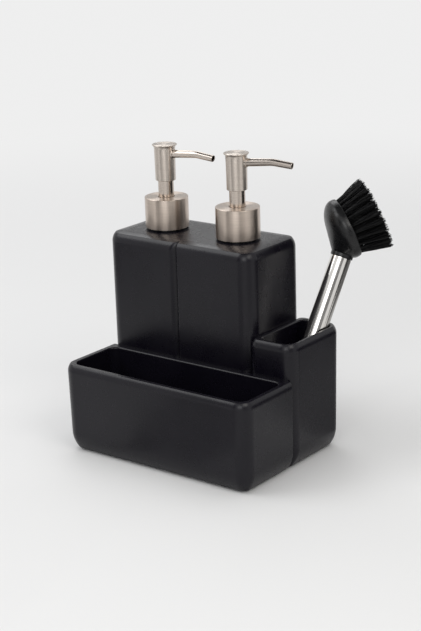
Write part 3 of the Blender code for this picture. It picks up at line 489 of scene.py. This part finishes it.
# %% Finishes of the pumps' metal
def round_lines(finish, per_metre, per_radian=1.2):
    """A noise of fine lines that run round the piece's own Z axis."""
    split_place = node(finish, "SeparateXYZ", {0: own_place(finish)})
    x, y, z = split_place.outputs
    flat = node(finish, "CombineXYZ", {0: x, 1: y})
    radius = node(finish, "VectorMath", {0: flat.outputs[0]}, operation="LENGTH").outputs["Value"]
    angle = node(finish, "Math", {0: y, 1: x}, operation="ARCTAN2").outputs[0]
    fine = [node(finish, "Math", {0: value, 1: factor}, operation="MULTIPLY").outputs[0]
            for value, factor in ((radius, per_metre), (z, per_metre), (angle, per_radian))]
    place = node(finish, "CombineXYZ", dict(enumerate(fine))).outputs[0]
    return node(finish, "TexNoise", {"Vector": place, "Scale": 1.0, "Detail": 4.0}).outputs["Fac"]


def brushed_round(name, colour, roughness, spread):
    """Metal brushed on a lathe."""
    finish, shader = new_finish(name, colour, roughness, 1.0, Anisotropic=spread, Anisotropic_Rotation=0.25)
    lines = round_lines(finish, 1500)
    feed(finish, shader,
         Base_Color=two_tone(finish, between(finish, lines, 0, 1), shade(colour, 0.94),
                             shade(colour, 1.05)),
         Roughness=between(finish, grain(finish, 50, detail=2), roughness - 0.01, roughness + 0.01),
         Normal=bump(finish, lines, 0.0000003),
         Tangent=node(finish, "Tangent", direction_type="RADIAL", axis="Z").outputs[0])
    return finish


nickel_collar = brushed_round("nickel_collar", (0.52, 0.445, 0.385), 0.31, 0.88)
nickel_head = brushed_round("nickel_head", (0.57, 0.51, 0.455), 0.28, 0.85)
nickel_sleeve = brushed_round("nickel_sleeve", (0.54, 0.475, 0.42), 0.17, 0.3)

nickel_drawn, drawn_shader = new_finish("nickel_drawn", (0.60, 0.535, 0.48), 0.28, 1.0)
drawn = grain(nickel_drawn, 1.0, detail=2, stretch=(60, 1500, 1500))
feed(nickel_drawn, drawn_shader, Roughness=between(nickel_drawn, drawn, 0.19, 0.25),
     Base_Color=two_tone(nickel_drawn, drawn, (0.52, 0.46, 0.41), (0.59, 0.53, 0.48)),
     Normal=bump(nickel_drawn, drawn, 0.0000002))
print("nickel finishes ready")

# %% [markdown]
# Behind the metal sit plain mouldings: white polypropylene, a milky dip tube, black acetal and soft rubber.
# They hardly show, but they are there once a pump is taken apart. A moulding has a faint spark-eroded
# tooth and a gloss that drifts, and rubber has dust in its pores.

# %% Finishes of the mouldings, the rubber and the plain steel
def moulded(name, colour, roughness, tooth, contrast, **sockets):
    """A plain moulding: a slight drift of tone and gloss over a fine tooth."""
    finish, shader = new_finish(name, colour, roughness, **sockets)
    drift = grain(finish, 70, detail=3)
    feed(finish, shader,
         Base_Color=two_tone(finish, between(finish, drift, 0, 1), shade(colour, 1 - contrast),
                             shade(colour, 1 + contrast)),
         Roughness=between(finish, grain(finish, 300, detail=4), roughness - 0.05, roughness + 0.06),
         Normal=bump(finish, grain(finish, 3800, detail=2), tooth))
    return finish


black_moulded = moulded("black_moulded", (0.006, 0.006, 0.0065), 0.28, 0.000002, 0.2, IOR=1.40)
white_moulded = moulded("white_moulded", (0.78, 0.78, 0.76), 0.42, 0.000008, 0.03)
milky_tube = moulded("milky_tube", (0.74, 0.76, 0.77), 0.28, 0.000004, 0.03)
grey_rubber = moulded("grey_rubber", (0.085, 0.085, 0.085), 0.78, 0.00003, 0.25)

spring_steel, spring_shader = new_finish("spring_steel", (0.66, 0.66, 0.66), 0.24, 1.0)
drawing = grain(spring_steel, 2400, detail=3)
feed(spring_steel, spring_shader, Roughness=between(spring_steel, drawing, 0.16, 0.34),
     Base_Color=two_tone(spring_steel, drawing, (0.58, 0.58, 0.58), (0.74, 0.74, 0.74)),
     Normal=bump(spring_steel, drawing, 0.000003))
print("plain finishes ready")

# %% [markdown]
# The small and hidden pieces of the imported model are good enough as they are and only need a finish. It is
# linked to the object and not to its mesh, so the model's own mesh data isn't touched.

# %% Dress the plain pieces
def dress(finish, *names):
    """Gives plain nodes of the model their finish, without touching their meshes."""
    for name in names:
        for slot in frame["nodes"][name].material_slots:
            slot.link = "OBJECT"
            slot.material = finish


dress(grey_rubber, "base_pad")
for side in SEATS:
    dress(white_moulded, *(f"{side}_{part}" for part in (
        "closure_cap", "neck_gasket", "pump_housing", "stem_guide", "valve_retainer", "piston_rod")))
    dress(milky_tube, side + "_dip_tube")
    dress(grey_rubber, side + "_piston_seal")
    dress(black_moulded, side + "_head_core")
    dress(spring_steel, side + "_valve_ball")
print("plain nodes dressed")

# %% [markdown]
# A threaded black neck is glued into the top of each bottle, and the collar screws down on it. Its thread is
# a short section swept along a helix. The sweep starts and ends with its crest sunk into the neck, as a
# moulded thread fades in and out, and a Boolean then welds it on.

# %% Build the neck inserts
def thread_ridge(root, crest, start, turns=1.25, pitch=0.00423, per_turn=56):
    """A right-handed thread whose crest rises and sinks over an eighth of a turn at each end."""
    rings = []
    count, fading = round(turns * per_turn), per_turn // 8
    for step in range(count + 1):
        turn = step / per_turn
        fade = min(1.0, step / fading, (count - step) / fading)
        tip = root + (crest - root) * (0.25 + 0.75 * math.sin(fade * math.pi / 2))
        level = start + pitch * turn
        angle = 2 * math.pi * turn
        section = (root, -0.0007), (tip, -0.00035), (tip, 0.00035), (root, 0.0007)
        rings.append([(radius * math.cos(angle), radius * math.sin(angle), level + rise)
                      for radius, rise in section])
    return skin(rings)


NECK_PROFILE = [                         # (radius, height above the bottle's top)
    (0.0104, -0.0085), (0.0119, -0.0085), (0.0119, 0.0003), (0.0154, 0.0003), (0.0154, 0.0017),
    (0.0151, 0.0020), (0.0127, 0.0020), (0.0127, 0.0153), (0.0124, 0.0156), (0.0104, 0.0156)]
for side, seat in SEATS.items():
    neck = lathe(NECK_PROFILE, 84)
    ridge = thread_ridge(root=0.0121, crest=0.0137, start=0.0065)
    show(side + "_neck", carved(side + "_neck", neck, [("UNION", ridge)]), black_moulded, "caddy",
         [side + "_neck_insert"], Matrix.Translation(seat))

# %% [markdown]
# The collar is a thin nickel cup, drawn from sheet and pulled over the white cap. Sheet metal can't have a
# knife edge, so the profile rounds the top with a small radius, eases the lower edge and turns the rim of
# the hole down a little where the sleeve slides through.

# %% Build the collars
COLLAR_PROFILE = [                       # (radius, height above the bottle's top)
    (0.0158, 0.0014), *curve_round((0.01635, 0.00155), 0.00015, 0.00015, -90, 0, 3),
    *curve_round((0.0160, 0.0239), 0.0005, 0.0005, 0, 90, 7),
    *curve_round((0.0067, 0.0241), 0.0003, 0.0003, 90, 180, 4), (0.0064, 0.0237), (0.0158, 0.0237)]
for side, seat in SEATS.items():
    show(side + "_collar_skin", lathe(COLLAR_PROFILE, 128), nickel_collar, side + "_collar",
         [side + "_collar_shell"], Matrix.Translation(seat))

# %% [markdown]
# The head is what the hand presses: a slim tapering barrel that flares out into a flat button. The flare is
# a quarter of an ellipse, hollow side out, and the button's top is very slightly domed, which is what gives
# it one soft gradient instead of a dead flat tone. The spout leaves through a real hole.

# %% Build the pump heads
TURNS = {"left": math.radians(3), "right": math.radians(12)}     # how far each head stands turned
SPOUT_ROOT, SPOUT_LEVEL = 0.0036, 0.0570     # out from the pump's axis, up from the bottle's top
SPOUT_RISE = math.radians(4)
SPOUT_TILT = math.radians(86)            # the same slope, measured from upright

HEAD_PROFILE = [                         # (radius, height above the bottle's top)
    (0, 0.0618), (0.0062, 0.0618), (0.0062, 0.0369),
    *curve_round((0.0072, 0.0374), 0.0005, 0.0005, -90, 0, 5),
    *curve_round((0.00935, 0.0608), 0.0014, 0.0026, 180, 93, 12), (0.00935, 0.0636),
    *curve_round((0.0090, 0.0638), 0.00035, 0.00035, 0, 80, 5),
    (0.0060, 0.0642), (0.0030, 0.06428), (0, 0.0643)]
SLEEVE_PROFILE = [(0.0053, 0.0134), (0.0057, 0.0134), (0.0059, 0.0136), (0.0059, 0.0419), (0.0053, 0.0419)]
on_axis = Matrix.Translation((0, 0, SPOUT_LEVEL - SPOUT_ROOT * math.tan(SPOUT_RISE)))
for side, seat in SEATS.items():
    hole = moved(lathe([(0, 0), (0.00335, 0), (0.00335, 0.012), (0, 0.012)], 48),
                 on_axis @ Matrix.Rotation(SPOUT_TILT, 4, "Y"))
    head = carved(side + "_head_skin", lathe(HEAD_PROFILE, 112), [("DIFFERENCE", hole)])
    show(side + "_head_skin", head, nickel_head, side + "_head", [side + "_head_shell"],
         Matrix.Translation(seat) @ Matrix.Rotation(TURNS[side], 4, "Z"))
    show(side + "_sleeve_skin", lathe(SLEEVE_PROFILE, 80), nickel_sleeve, side + "_head",
         [side + "_stem_sleeve"], Matrix.Translation(seat))

# %% [markdown]
# The spout is a thin tube: it rises a little, bends and falls a little. A curve with a bevel would make a
# tube, but not one that tapers, has a true bore and an eased tip, so rings are set along the middle line,
# outside first and back through the bore. The bore's faces get a black finish, as painted shade for the
# dark inside of the tube.

# %% Helpers for the spouts
def spout_path(fall=math.radians(7), bend_start=0.0262, bend_end=0.0306, tip=0.0438):
    """Points (reach, height) along the spout's middle line."""
    reaches = [*np.linspace(SPOUT_ROOT, bend_start, 8), *np.linspace(bend_start, bend_end, 12)[1:],
               *np.linspace(bend_end, tip, 6)[1:]]
    points = [(reaches[0], SPOUT_LEVEL)]
    for near, far in zip(reaches, reaches[1:]):
        share = min(max(((near + far) / 2 - bend_start) / (bend_end - bend_start), 0), 1)
        slope = math.tan(SPOUT_RISE - (SPOUT_RISE + fall) * share)
        points.append((far, points[-1][1] + (far - near) * slope))
    return points


def hoop(middle, across, upward, radius, sides):
    """Points on a circle round a middle, in the plane of two directions."""
    turns = [math.tau * k / sides for k in range(sides)]
    return [middle + (across * math.cos(turn) + upward * math.sin(turn)) * radius for turn in turns]


def tube_along(path, outer, inner, sides=40):
    """A closed tube along points in the XZ plane. The faces of the bore carry material number 1."""
    shape = bmesh.new()
    rows = []
    for radii in (outer, inner):
        for number, (reach, height) in enumerate(path):
            before, after = path[max(number - 1, 0)], path[min(number + 1, len(path) - 1)]
            along = Vector((after[0] - before[0], 0, after[1] - before[1])).normalized()
            across = Vector((0, 1, 0))
            rows.append([shape.verts.new(point) for point in hoop(
                Vector((reach, 0, height)), across, along.cross(across), radii[number], sides)])
    order = rows[:len(path)] + rows[len(path):][::-1]
    for number, (row, following) in enumerate(zip(order, order[1:] + order[:1])):
        for k in range(sides):
            face = shape.faces.new((row[k], row[(k + 1) % sides], following[(k + 1) % sides], following[k]))
            face.material_index = int(number >= len(path))
    return shape


print("spout's line ends", round(spout_path()[-1][1] * 1000, 1), "mm above the bottle's top")

# %% [markdown]
# The tube's radius shrinks by half a millimetre from root to tip, and the tip's edge is eased, so that it
# catches a thin line of light. A small ring covers the hole in the head. The finish runs along the spout,
# where the head's runs round, so the spout is a piece of its own.

# %% Build the spouts
ROOT_RADIUS, TAPER, SPOUT_LENGTH = 0.00305, 0.00055, 0.0402
SHEET = 0.0005                           # thickness of the tube's wall
TIP_EASING, TIP_BORE = 0.00012, 0.00215  # taken off the tip's radius, and the bore's radius there
RING_PROFILE = [(0.0031, 0.0030), (0.0034, 0.0030), (0.0036, 0.0032), (0.0036, 0.0048), (0.0034, 0.0050),
                (0.0031, 0.0050)]

spout_line = spout_path()
tip_reach, tip_height = spout_line.pop()
spout_line += [(tip_reach - 0.00015, tip_height + 0.00002), (tip_reach, tip_height)]
outer = [ROOT_RADIUS - TAPER * (reach - SPOUT_ROOT) / SPOUT_LENGTH for reach, _ in spout_line]
outer[-1] -= TIP_EASING
inner = [radius - SHEET for radius in outer]
inner[-1] = TIP_BORE
ring_place = Matrix.Translation((SPOUT_ROOT, 0, SPOUT_LEVEL)) @ Matrix.Rotation(SPOUT_TILT, 4, "Y")
for side, seat in SEATS.items():
    place = Matrix.Translation(seat) @ Matrix.Rotation(TURNS[side], 4, "Z")
    spout = show(side + "_spout_skin", tube_along(spout_line, outer, inner), nickel_drawn, side + "_head",
                 [side + "_spout"], place)
    # the bore's faces take this black finish: painted shade inside the spout
    spout.data.materials.append(black_moulded)
    show(side + "_spout_ring", moved(lathe(RING_PROFILE, 48), ring_place), nickel_drawn, side + "_head",
         (), place)

# %% [markdown]
# Each return spring is one unbroken wire. Pressing the head shortens it, so it doesn't ride with the head:
# it stands on the pump's seat and rides with the pump.

# %% Build the return springs
def coil(low, high, turns=7, radius=0.0052, wire=0.0004, per_turn=30, sides=10):
    """A helical wire along Z with flat ends."""
    count = turns * per_turn
    slope = math.atan2(high - low, 2 * math.pi * radius * turns)
    rings = []
    for step in range(count + 1):
        angle = 2 * math.pi * step / per_turn
        outward = Vector((math.cos(angle), math.sin(angle), 0))
        along = Vector((-math.sin(angle) * math.cos(slope), math.cos(angle) * math.cos(slope),
                        math.sin(slope)))
        middle = outward * radius + Vector((0, 0, low + (high - low) * step / count))
        rings.append(hoop(middle, outward, outward.cross(along), wire, sides))
    return skin(rings)


for side, seat in SEATS.items():
    spring = show(side + "_spring_wire", coil(low=-0.0203, high=0.0036), spring_steel, side + "_pump",
                  [side + "_return_spring"], Matrix.Translation(seat))
    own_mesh(spring)

# %% [markdown]
# The brush leans in its cup, so it is built upright in a frame of its own and set down once. The joint that
# lifts it out runs along its handle, and the middle of the tube's box lies on the same line. Those two give
# the frame without measuring anything twice.

# %% Find the brush's own frame
HANDLE_LENGTH = 0.1482                   # from the foot's sole to the handle's mouth
TUBE_START = 0.0033                      # the tube begins this far above the sole
BRISTLE_SIDE = math.radians(40)          # the way the bristles face, from the right towards the back

lift = next(joint for joint in frame["joints"] if joint["name"] == "brush_lift")
line = Vector(lift["axis"]).normalized()
tube_low, tube_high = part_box("brush_handle_tube")
brush_foot = (tube_low + tube_high) / 2 - line * (HANDLE_LENGTH + TUBE_START) / 2
heading = Vector((math.cos(BRISTLE_SIDE), math.sin(BRISTLE_SIDE), 0))
facing = (heading - heading.dot(line) * line).normalized()
stance = Matrix.Translation(brush_foot) @ Matrix((facing, line.cross(facing), line)).transposed().to_4x4()
print("brush foot", [round(value, 4) for value in brush_foot])

# %% [markdown]
# The handle is a polished steel tube. Polishing belts run along it, and what they leave is a set of faint
# lengthwise streaks that only show where a highlight falls off. The reflections stay nearly sharp, so the
# studio itself has to supply the light and dark bands.

# %% Build the handle
steel_polished, polished_shader = new_finish("steel_polished", (0.72, 0.70, 0.67), 0.10, 1.0)
streaks = grain(steel_polished, 1.0, detail=4, stretch=(2600, 2600, 35))
smears = grain(steel_polished, 60, detail=3)
feed(steel_polished, polished_shader, Roughness=between(steel_polished, smears, 0.08, 0.15),
     Base_Color=two_tone(steel_polished, streaks, (0.66, 0.64, 0.61), (0.78, 0.76, 0.73)),
     Normal=bump(steel_polished, streaks, 0.0000005))

handle = lathe([(0.00705, TUBE_START), (0.00765, TUBE_START), (0.00785, 0.0035), (0.00785, 0.1480),
                (0.00765, HANDLE_LENGTH), (0.00705, HANDLE_LENGTH)], 112)
show("brush_handle_skin", handle, steel_polished, "brush", ["brush_handle_tube"], stance)
foot = lathe([(0, 0.0150), (0.0064, 0.0150), (0.00675, 0.0147), (0.00675, 0.0030),
              *curve_round((0.00485, 0.0030), 0.0030, 0.0030, 0, -90, 9), (0, 0)], 80)
show("brush_handle_foot", foot, black_moulded, "brush", ["brush_handle_cap"], stance)

# %% [markdown]
# The head is a moulded dome, turned 45 degrees to the handle, with a lip that tucks in round the bristle
# plate. It tapers straight to a short collar on the handle. A skin stretched over the dome and one circle
# in the collar gives just that taper, as shrink film would. The collar is then joined on and the plate's
# pocket carved out.

# %% Build the brush head
SLANT = math.radians(45)
HEAD_REACH = 0.0177                      # from the handle's mouth to the middle of the dome
FACE = 0.0139                            # from the head's back frame to the bristle plate's face
mouth = Vector((0, 0, HANDLE_LENGTH + 0.0003))
normal = Vector((math.sin(SLANT), 0, math.cos(SLANT)))
across = Vector((-math.cos(SLANT), 0, math.sin(SLANT)))
head_place = Matrix.Translation(mouth + across * HEAD_REACH) @ Matrix(
    (across, normal.cross(across), normal)).transposed().to_4x4()


def shrink_film(rounds, sides=128):
    """The tightest closed skin over circles, given as (placing matrix, profile) pairs."""
    shape = bmesh.new()
    for placing, profile in rounds:
        for radius, height in profile:
            for number in range(sides if radius > WELD else 1):
                turn = math.tau * number / sides
                shape.verts.new(placing @ Vector((
                    radius * math.cos(turn), radius * math.sin(turn), height)))
    made = bmesh.ops.convex_hull(shape, input=shape.verts, use_existing_faces=False)
    inside = {item for item in made["geom_interior"] + made["geom_unused"]
              if isinstance(item, bmesh.types.BMVert)}
    bmesh.ops.delete(shape, geom=list(inside), context="VERTS")
    return shape


dome = [*curve_round((0, 0.0108), 0.0230, 0.0118, -90, 0, 26),
        *curve_round((0.0224, 0.0108), 0.0006, 0.0031, 0, 90, 10)[1:]]
grip = lathe([(0, 0.1342), (0.0064, 0.1342), (0.00675, 0.1345), (0.00675, mouth.z), (0.0082, mouth.z),
              (0.0084, mouth.z + 0.0002), (0.0084, mouth.z + 0.0032), (0.0081, mouth.z + 0.0036),
              (0, mouth.z + 0.0036)], 96)
pocket = lathe([(0, 0.0106), (0.0217, 0.0106), (0.0217, 0.0169), (0, 0.0169)], 128)
tapering = shrink_film([(head_place, dome), (Matrix(), [(0.0079, mouth.z + 0.0020)])])
head_mesh = carved("brush_head_skin", tapering,
                   [("UNION", grip), ("DIFFERENCE", moved(pocket, head_place))])
head_mesh.transform(stance)
show("brush_head_skin", head_mesh, black_moulded, "brush", ["brush_head"])

# %% [markdown]
# Black nylon strands are not all alike, since some are scuffed more than others. A random value for each
# separate island of the mesh gives every strand a tone and a gloss of its own.

# %% Finish of the bristles
nylon, nylon_shader = new_finish("black_nylon", (0.003, 0.003, 0.0034), 0.42, Specular_IOR_Level=0.18)
each = node(nylon, "NewGeometry").outputs["Random Per Island"]
along_strand = grain(nylon, 500, detail=2)
feed(nylon, nylon_shader, Base_Color=two_tone(nylon, each, (0.001, 0.001, 0.0013), (0.008, 0.008, 0.0085)),
     Roughness=between(nylon, each, 0.32, 0.55, 0, 1), Normal=bump(nylon, along_strand, 0.00001))
print("nylon ready")

# %% [markdown]
# A tuft of nylon is folded over a staple and driven into the plate, so its strands leave one small hole
# together and fan out. Real hair or a particle system would do this, but neither is a mesh that can be
# exported. Here each strand is a thin tapering rod of four sides with its own bend, length and spread, all
# drawn from a seeded random source, so that each run gives the same brush.

# %% Helpers for the bristles
source = np.random.default_rng(11)


def add_strand(shape, root, tip, bow, thickness, sides=4, segments=4):
    """One bent rod from root to tip, closed at both ends."""
    rings = []
    for step in range(segments + 1):
        share = step / segments
        middle = root.lerp(tip, share) + bow * math.sin(math.pi * share) * share
        radius = thickness * (1 - 0.25 * share)
        rings.append([shape.verts.new(point) for point in hoop(
            middle, Vector((1, 0, 0)), Vector((0, 1, 0)), radius, sides)])
    for low, high in zip(rings, rings[1:]):
        for k in range(sides):
            shape.faces.new((low[k], low[(k + 1) % sides], high[(k + 1) % sides], high[k]))
    shape.faces.new(rings[0][::-1])
    shape.faces.new(rings[-1])


def scatter(radius):
    """A random point in a disc."""
    turn, reach = source.uniform(0, 2 * math.pi), radius * math.sqrt(source.uniform(0, 1))
    return Vector((reach * math.cos(turn), reach * math.sin(turn), 0))


print("strands ready")

# %% [markdown]
# The tufts stand in four rings round a middle one, as holes are drilled in a round plate, and lean out
# more the further out they stand. They are made in the plate's own frame and set down together with it.

# %% Build the bristles
TUFT_RINGS, TUFTS_IN_FIRST_RING, STRANDS = 4, 6, 46
ROOT_FIELD, TIP_FIELD = 0.0198, 0.0252   # the radii that the roots and the tips fill
ROOT_SCATTER, TIP_SCATTER = 0.0011, 0.0027
STRAND_LENGTH, TIP_LEAN = 0.0232, 0.0005
SUNK = 0.0006                            # how deep a strand starts inside the plate

tufts = [(0.0, 0.0)]
for ring in range(1, TUFT_RINGS + 1):
    for k in range(TUFTS_IN_FIRST_RING * ring):
        turn = math.tau * k / (TUFTS_IN_FIRST_RING * ring)
        tufts.append((ring / TUFT_RINGS * math.cos(turn), ring / TUFT_RINGS * math.sin(turn)))

strands = lathe([(0, 0.0109), (0.0214, 0.0109), (0.0214, FACE - 0.0002), (0.0212, FACE), (0, FACE)], 96)
for share_x, share_y in tufts:
    fan = Vector((share_x, share_y, 0))
    for _ in range(STRANDS):
        start = fan * ROOT_FIELD + scatter(ROOT_SCATTER) + Vector((0, 0, FACE - SUNK))
        length = STRAND_LENGTH + source.uniform(-0.0020, 0.0006)
        end = fan * TIP_FIELD + scatter(TIP_SCATTER) + Vector((TIP_LEAN, 0, FACE + length))
        add_strand(strands, start, end, fan * source.uniform(-0.0006, 0.0010) + scatter(0.0005),
                   source.uniform(0.00019, 0.00027))
show("brush_tufts", moved(strands, stance @ head_place), nylon, "brush", ["brush_bristles"],
     sharp=60)
print(len(tufts), "tufts")

# %% [markdown]
# The studio is a pale floor that runs back until it is out of the picture, with no wall behind. Near the
# caddy the floor is a plain matt surface that takes the lamps' light and the caddy's shadow. Further away
# it would grow dull, so it fades there into the white of the backdrop. That white is only for what the
# camera, a reflection or a clear material sees. It sheds no light on the caddy.

# %% Lay the floor
FLOOR_RADIUS, FLOOR_DROP = 5.5, 0.0003
FADE_START, FADE_END = 0.35, 1.3         # where the matt floor turns into the backdrop
BACKDROP_TONE = 0.86


def seen_only(finish):
    """1 for rays of the camera, reflections and clear pieces, 0 for the light that surfaces get."""
    path = node(finish, "LightPath")
    first = node(finish, "Math", {0: path.outputs["Is Camera Ray"], 1: path.outputs["Is Glossy Ray"]},
                 operation="MAXIMUM").outputs[0]
    return node(finish, "Math", {0: first, 1: path.outputs["Is Transmission Ray"]},
                operation="MAXIMUM").outputs[0]


floor_shape = bmesh.new()
bmesh.ops.create_circle(floor_shape, cap_ends=True, radius=FLOOR_RADIUS, segments=128)
floor = put("studio_floor", to_mesh("studio_floor", floor_shape))
floor.location.z = -FLOOR_DROP
floor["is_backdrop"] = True

floor_finish, floor_shader = new_finish("studio_floor", (0.78, 0.78, 0.78), 0.85)
away = node(floor_finish, "VectorMath", {0: own_place(floor_finish)}, operation="LENGTH").outputs["Value"]
far_share = node(floor_finish, "MapRange", {"Value": away, "From Min": FADE_START, "From Max": FADE_END},
                 interpolation_type="SMOOTHSTEP").outputs["Result"]
shown = node(floor_finish, "Math", {0: far_share, 1: seen_only(floor_finish)},
             operation="MULTIPLY").outputs[0]
backdrop = node(floor_finish, "Emission", {"Color": (BACKDROP_TONE, BACKDROP_TONE, BACKDROP_TONE, 1),
                                           "Strength": 1.0}).outputs[0]
blend = node(floor_finish, "MixShader", {0: shown, 1: floor_shader.outputs[0], 2: backdrop})
floor_out = floor_finish.node_tree.nodes["Material Output"]
floor_finish.node_tree.links.new(blend.outputs[0], floor_out.inputs["Surface"])
feed(floor_finish, floor_shader, Normal=bump(floor_finish, grain(floor_finish, 900), 0.00002))
floor.data.materials.append(floor_finish)
print("floor", FLOOR_RADIUS * 2, "m across")

# %% [markdown]
# The world does two jobs. The camera and the reflections see a nearly white room, while surfaces get a
# much weaker light from it, or the shadows would drown. The floor's helper tells these rays apart.

# %% Light the world
SKY_SEEN, SKY_FILL = 0.87, 0.42          # how bright the world looks, and how much light it gives

world = bpy.data.worlds.new("studio_world")
bpy.context.scene.world = world
world.use_nodes = True
sky = world.node_tree.nodes["Background"]
sky.inputs["Color"].default_value = (1, 1, 1, 1)
brightness = node(world, "Math", {0: seen_only(world), 1: SKY_SEEN - SKY_FILL, 2: SKY_FILL},
                  operation="MULTIPLY_ADD")
world.node_tree.links.new(brightness.outputs[0], sky.inputs["Strength"])
print("world ready")

# %% [markdown]
# Five soft lamps light the set: one overhead, one high at the left front that draws the pale lines along
# the casting's shoulders and rims, one beside the camera that the metal mirrors as its broad bright band,
# a warm one high on the right, and a weak one behind. An area lamp is the nearest thing to a photographer's
# softbox: its size sets how soft a shadow's edge is and how wide the highlight in the metal.

# %% Hang the lamps
def around(heading, distance, height):
    """A point this far from the caddy's middle; heading in degrees from the front to the right."""
    turn = math.radians(heading)
    return Vector((math.sin(turn) * distance, -math.cos(turn) * distance, height))


def soft_lamp(name, place, width, height, power, colour, target=Vector((0, 0, 0.10))):
    """A rectangular softbox that looks at the caddy."""
    data = bpy.data.lights.new(name, "AREA")
    data.shape = "RECTANGLE"
    data.size, data.size_y = width, height
    data.energy = power
    data.color = colour
    lamp = put(name, data)
    lamp.location = place
    lamp.rotation_euler = (target - place).to_track_quat("-Z", "Y").to_euler()
    lamp.visible_camera = False
    print(name, power, "W")


soft_lamp("overhead_lamp", Vector((-0.1, 0.1, 1.7)), 1.6, 1.6, 10, (1, 1, 1))
soft_lamp("left_lamp", around(-54, 1.2, 1.20), 0.9, 0.8, 7, (0.98, 0.99, 1.0))
soft_lamp("camera_lamp", around(25, 1.35, 0.70), 0.68, 0.6, 3.8, (1, 1, 1))
soft_lamp("right_lamp", around(72, 1.0, 0.90), 0.6, 0.5, 3, (1.0, 0.97, 0.92))
soft_lamp("back_lamp", around(-133, 1.3, 1.15), 0.8, 0.6, 3, (0.98, 0.99, 1.0))

# %% [markdown]
# A bright tube in a bright room has no outline, so a photographer stands grey and dark cards round metal.
# Some stand up here and some lie just above the floor, where they set the tone that the casting's upright
# faces mirror. A dark disc hangs overhead to draw a thin line along each crease. The cards are seen by
# reflections only, so they cast no shade.

# %% Place the cards
def reflected_card(name, headings, near, far, tone):
    """A curved card between two headings, seen by reflections only.

    near and far are its two long edges, each as (distance, height), so a card can stand up or lie down.
    """
    shape = bmesh.new()
    columns = [[shape.verts.new(around(turn, *edge)) for edge in (near, far)]
               for turn in np.linspace(*headings, 19)]
    for before, after in zip(columns, columns[1:]):
        shape.faces.new((before[0], after[0], after[1], before[1]))
    mesh = bpy.data.meshes.new(name)
    shape.to_mesh(mesh)
    shape.free()
    card = put(name, mesh)
    finish, _ = new_finish(name, (tone, tone, tone), 0.9, Specular_IOR_Level=0.1)
    mesh.materials.append(finish)
    card.visible_camera = card.visible_diffuse = card.visible_shadow = card.visible_transmission = False
    card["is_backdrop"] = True
    print(name, len(mesh.polygons), "faces")


reflected_card("left_card", (-26, -4), (0.55, 0.12), (0.55, 0.44), 0.12)
reflected_card("grey_card", (48, 76), (0.60, 0.10), (0.60, 0.32), 0.30)
reflected_card("right_card", (104, 156), (0.55, 0.0), (0.55, 0.13), 0.03)
reflected_card("dark_disc", (0, 360), (0.0, 0.95), (0.55, 0.95), 0.02)
reflected_card("front_floor_card", (-28, 14), (0.09, 0.001), (0.60, 0.001), 0.46)
reflected_card("right_near_card", (118, 168), (0.12, 0.001), (0.34, 0.001), 0.42)
reflected_card("right_floor_card", (118, 168), (0.34, 0.001), (0.58, 0.001), 0.14)
reflected_card("left_floor_card", (-84, -41), (0.46, 0.001), (0.75, 0.001), 0.20)
reflected_card("middle_floor_card", (46, 76), (0.46, 0.001), (0.75, 0.001), 0.38)
reflected_card("back_card", (190, 246), (0.60, 0.24), (0.60, 0.45), 0.70)

# %% Print the model's and the dressed scene's bounds
dressed_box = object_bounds()
for label, (low, high) in (("model", model_box), ("dressed", dressed_box)):
    print(label, [round(value * 1000, 1) for value in (*low, *high)])
